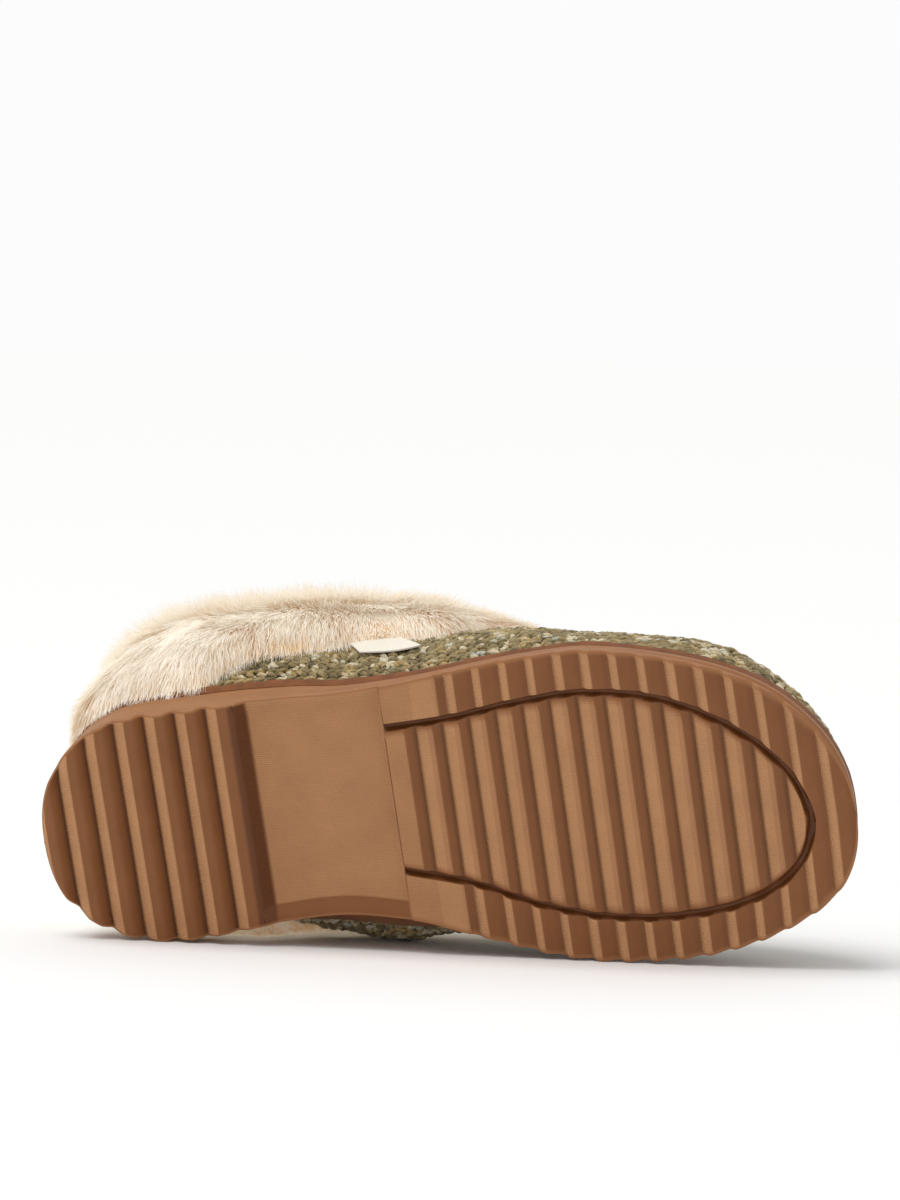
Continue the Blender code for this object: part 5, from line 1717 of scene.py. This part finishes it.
class SlipperSizes(bpy.types.PropertyGroup):
    """Sizes and colours that a user would change."""

    # Grained and smooth rubber: their finish, and partly painted light on the ramps and painted shade on the falls
    rubber_grained_lit: FloatVectorProperty(
        name="Grained rubber", description="Rubber that the mould leaves grained", default=linear("#B98459"), **COLOUR
    )
    rubber_smooth_shaded: FloatVectorProperty(
        name="Smooth rubber", description="Rubber where the mould is polished", default=linear("#825028"), **COLOUR
    )
    rubber_worn: FloatVectorProperty(
        name="Scuffed rubber", description="Tops of the rubber's grain", default=linear("#D4A67C"), **COLOUR
    )
    # Painted shade: the colour that the grooves and the falls of the ribs are darkened towards
    rubber_painted_shade: FloatVectorProperty(
        name="Rubber in grooves", description="Rubber in the hollows", default=linear("#643818"), **COLOUR
    )
    suede: FloatVectorProperty(
        name="Suede", description="The strip over the joint", default=linear("#7A4A29"), **COLOUR
    )
    yarn_dark: FloatVectorProperty(
        name="Dark yarn", description="Darkest fibres", default=linear("#4F462C"), **COLOUR
    )
    yarn_base: FloatVectorProperty(
        name="Olive yarn", description="The yarn's main tone", default=linear("#86744B"), **COLOUR
    )
    yarn_light: FloatVectorProperty(
        name="Light yarn", description="Paler olive fibres", default=linear("#A8956A"), **COLOUR
    )
    yarn_mustard: FloatVectorProperty(
        name="Mustard flecks", description="Yellow flecks", default=linear("#B39860"), **COLOUR
    )
    yarn_cream: FloatVectorProperty(
        name="Cream flecks", description="Palest flecks", default=linear("#E0D2B3"), **COLOUR
    )
    yarn_blue: FloatVectorProperty(
        name="Blue-green flecks", description="Cool flecks", default=linear("#98A296"), **COLOUR
    )
    pile_tip: FloatVectorProperty(
        name="Pile tip", description="The pile at its tips", default=linear("#FFF8EC"), **COLOUR
    )
    pile_root: FloatVectorProperty(
        name="Pile root", description="The pile at its roots", default=linear("#EED4AC"), **COLOUR
    )
    lining: FloatVectorProperty(
        name="Lining", description="Fleece of the lining and footbed", default=linear("#E9DCC6"), **COLOUR
    )
    ribbon: FloatVectorProperty(
        name="Ribbon", description="Tape of the tab", default=linear("#F1EADB"), **COLOUR
    )
    tread_step: FloatProperty(
        name="Tread step", description="Spacing of the sole's sections", default=0.55 * MM, **LENGTH
    )
    rib_rounding: FloatProperty(
        name="Rib rounding", description="Rounding of the tread's ribs", default=0.45 * MM, **LENGTH
    )
    yarn_radius: FloatProperty(
        name="Yarn radius", description="Radius of a leg of a stitch", default=1.08 * MM, **LENGTH
    )
    chain_width: FloatProperty(
        name="Chain width", description="Distance from chain to chain", default=4.7 * MM, **LENGTH
    )
    stitch_length: FloatProperty(
        name="Stitch length", description="Length of a stitch along its chain", default=3.7 * MM, **LENGTH
    )
    stitches_round: IntProperty(
        name="Stitches round", description="Stitches in a chain round the shoe", default=172, min=12
    )
    knit_backing: FloatProperty(
        name="Backing", description="How deep the wall lies behind the stitches", default=0.7 * MM, **LENGTH
    )
    pile_root_depth: FloatProperty(
        name="Root depth", description="How deep the hair's roots lie in the cuff", default=5.0 * MM, **LENGTH
    )
    hair_length: FloatProperty(
        name="Hair length", description="Length of the long pile", default=11.0 * MM, **LENGTH
    )
    hair_width: FloatProperty(
        name="Hair width", description="Width of a hair at its root", default=0.31 * MM, **LENGTH
    )
    hair_density: FloatProperty(
        name="Hair density", description="Hairs for each square millimetre", default=6.1, min=0.0
    )
    hair_lean: FloatProperty(name="Lean", description="How far the hair leans down", default=1.35)
    hair_clumping: FloatProperty(name="Clumping", description="How far clumps of hair turn", default=1.5)
    # Painted glow of the pile, in place of light scattered inside it
    pile_painted_glow: FloatProperty(
        name="Pile glow", description="Stray light inside the pile", default=0.08, subtype="FACTOR", min=0.0, max=1.0
    )
    tab_width: FloatProperty(name="Tab width", description="Width of the ribbon tab", default=17.0 * MM, **LENGTH)
    tab_drop: FloatProperty(name="Tab drop", description="How far the tab hangs down", default=15.0 * MM, **LENGTH)
    sky: FloatProperty(name="Sky", description="Light of the white surround", default=0.64, min=0.0)
    window: FloatProperty(
        name="Window", description="Strength of the soft light from the side, in watts for a square metre", default=1.5
    )
    window_width: FloatProperty(
        name="Window width", description="How wide that light looks", default=math.radians(34), subtype="ANGLE"
    )
    softbox: FloatProperty(name="Softbox", description="Power of the softbox", default=6.0, subtype="POWER")


class SLIPPER_OT_sole(bpy.types.Operator):
    """Builds the ribbed rubber sole"""

    bl_idname = "slipper.sole"
    bl_label = "Rubber sole"

    def execute(self, context):
        build_outsole(context.scene.slipper)
        return {"FINISHED"}


class SLIPPER_OT_foxing(bpy.types.Operator):
    """Builds the suede strip over the joint"""

    bl_idname = "slipper.foxing"
    bl_label = "Suede foxing"

    def execute(self, context):
        build_foxing(context.scene.slipper)
        return {"FINISHED"}


class SLIPPER_OT_knit(bpy.types.Operator):
    """Builds the knitted upper with its stitches and lining"""

    bl_idname = "slipper.knit"
    bl_label = "Knitted upper"

    def execute(self, context):
        build_upper(context.scene.slipper)
        build_stitches(context.scene.slipper)
        return {"FINISHED"}


class SLIPPER_OT_footbed(bpy.types.Operator):
    """Builds the fleece footbed"""

    bl_idname = "slipper.footbed"
    bl_label = "Footbed"

    def execute(self, context):
        build_insole(context.scene.slipper)
        return {"FINISHED"}


class SLIPPER_OT_cuff(bpy.types.Operator):
    """Builds the pile cuff and its hair"""

    bl_idname = "slipper.cuff"
    bl_label = "Pile cuff"

    def execute(self, context):
        ground_piece = build_pile_ground(context.scene.slipper)
        build_hair(context.scene.slipper, ground_piece)
        return {"FINISHED"}


class SLIPPER_OT_tab(bpy.types.Operator):
    """Builds the bare ribbon tab"""

    bl_idname = "slipper.tab"
    bl_label = "Ribbon tab"

    def execute(self, context):
        build_tab(context.scene.slipper)
        return {"FINISHED"}


class SLIPPER_OT_stage(bpy.types.Operator):
    """Builds the floor, the lights and the camera"""

    bl_idname = "slipper.stage"
    bl_label = "Stage"

    def execute(self, context):
        build_stage(context.scene.slipper)
        return {"FINISHED"}


STEPS = (
    SLIPPER_OT_sole,
    SLIPPER_OT_foxing,
    SLIPPER_OT_knit,
    SLIPPER_OT_footbed,
    SLIPPER_OT_cuff,
    SLIPPER_OT_tab,
    SLIPPER_OT_stage,
)


class SLIPPER_PT_panel(bpy.types.Panel):
    """Lists the slipper's sizes and colours, and the pieces that can be built"""

    bl_idname = "SLIPPER_PT_panel"
    bl_label = "Knitted slipper"
    bl_space_type = "VIEW_3D"
    bl_region_type = "UI"
    bl_category = "Slipper"

    def draw(self, context):
        for name in SlipperSizes.__annotations__:
            self.layout.prop(context.scene.slipper, name)
        for step in STEPS:
            self.layout.operator(step.bl_idname)


CLASSES = (SlipperSizes, *STEPS, SLIPPER_PT_panel)


def register():
    """Makes the operators, the panel and the scene's sizes known to Blender."""
    for item in CLASSES:
        bpy.utils.register_class(item)
    bpy.types.Scene.slipper = PointerProperty(type=SlipperSizes)


def unregister():
    """Takes them away again."""
    del bpy.types.Scene.slipper
    for item in reversed(CLASSES):
        bpy.utils.unregister_class(item)


def main():
    """Builds every piece in order."""
    register()
    bpy.ops.slipper.sole()
    bpy.ops.slipper.foxing()
    bpy.ops.slipper.knit()
    bpy.ops.slipper.footbed()
    bpy.ops.slipper.cuff()
    bpy.ops.slipper.tab()
    bpy.ops.slipper.stage()


if __name__ == "__main__":
    main()
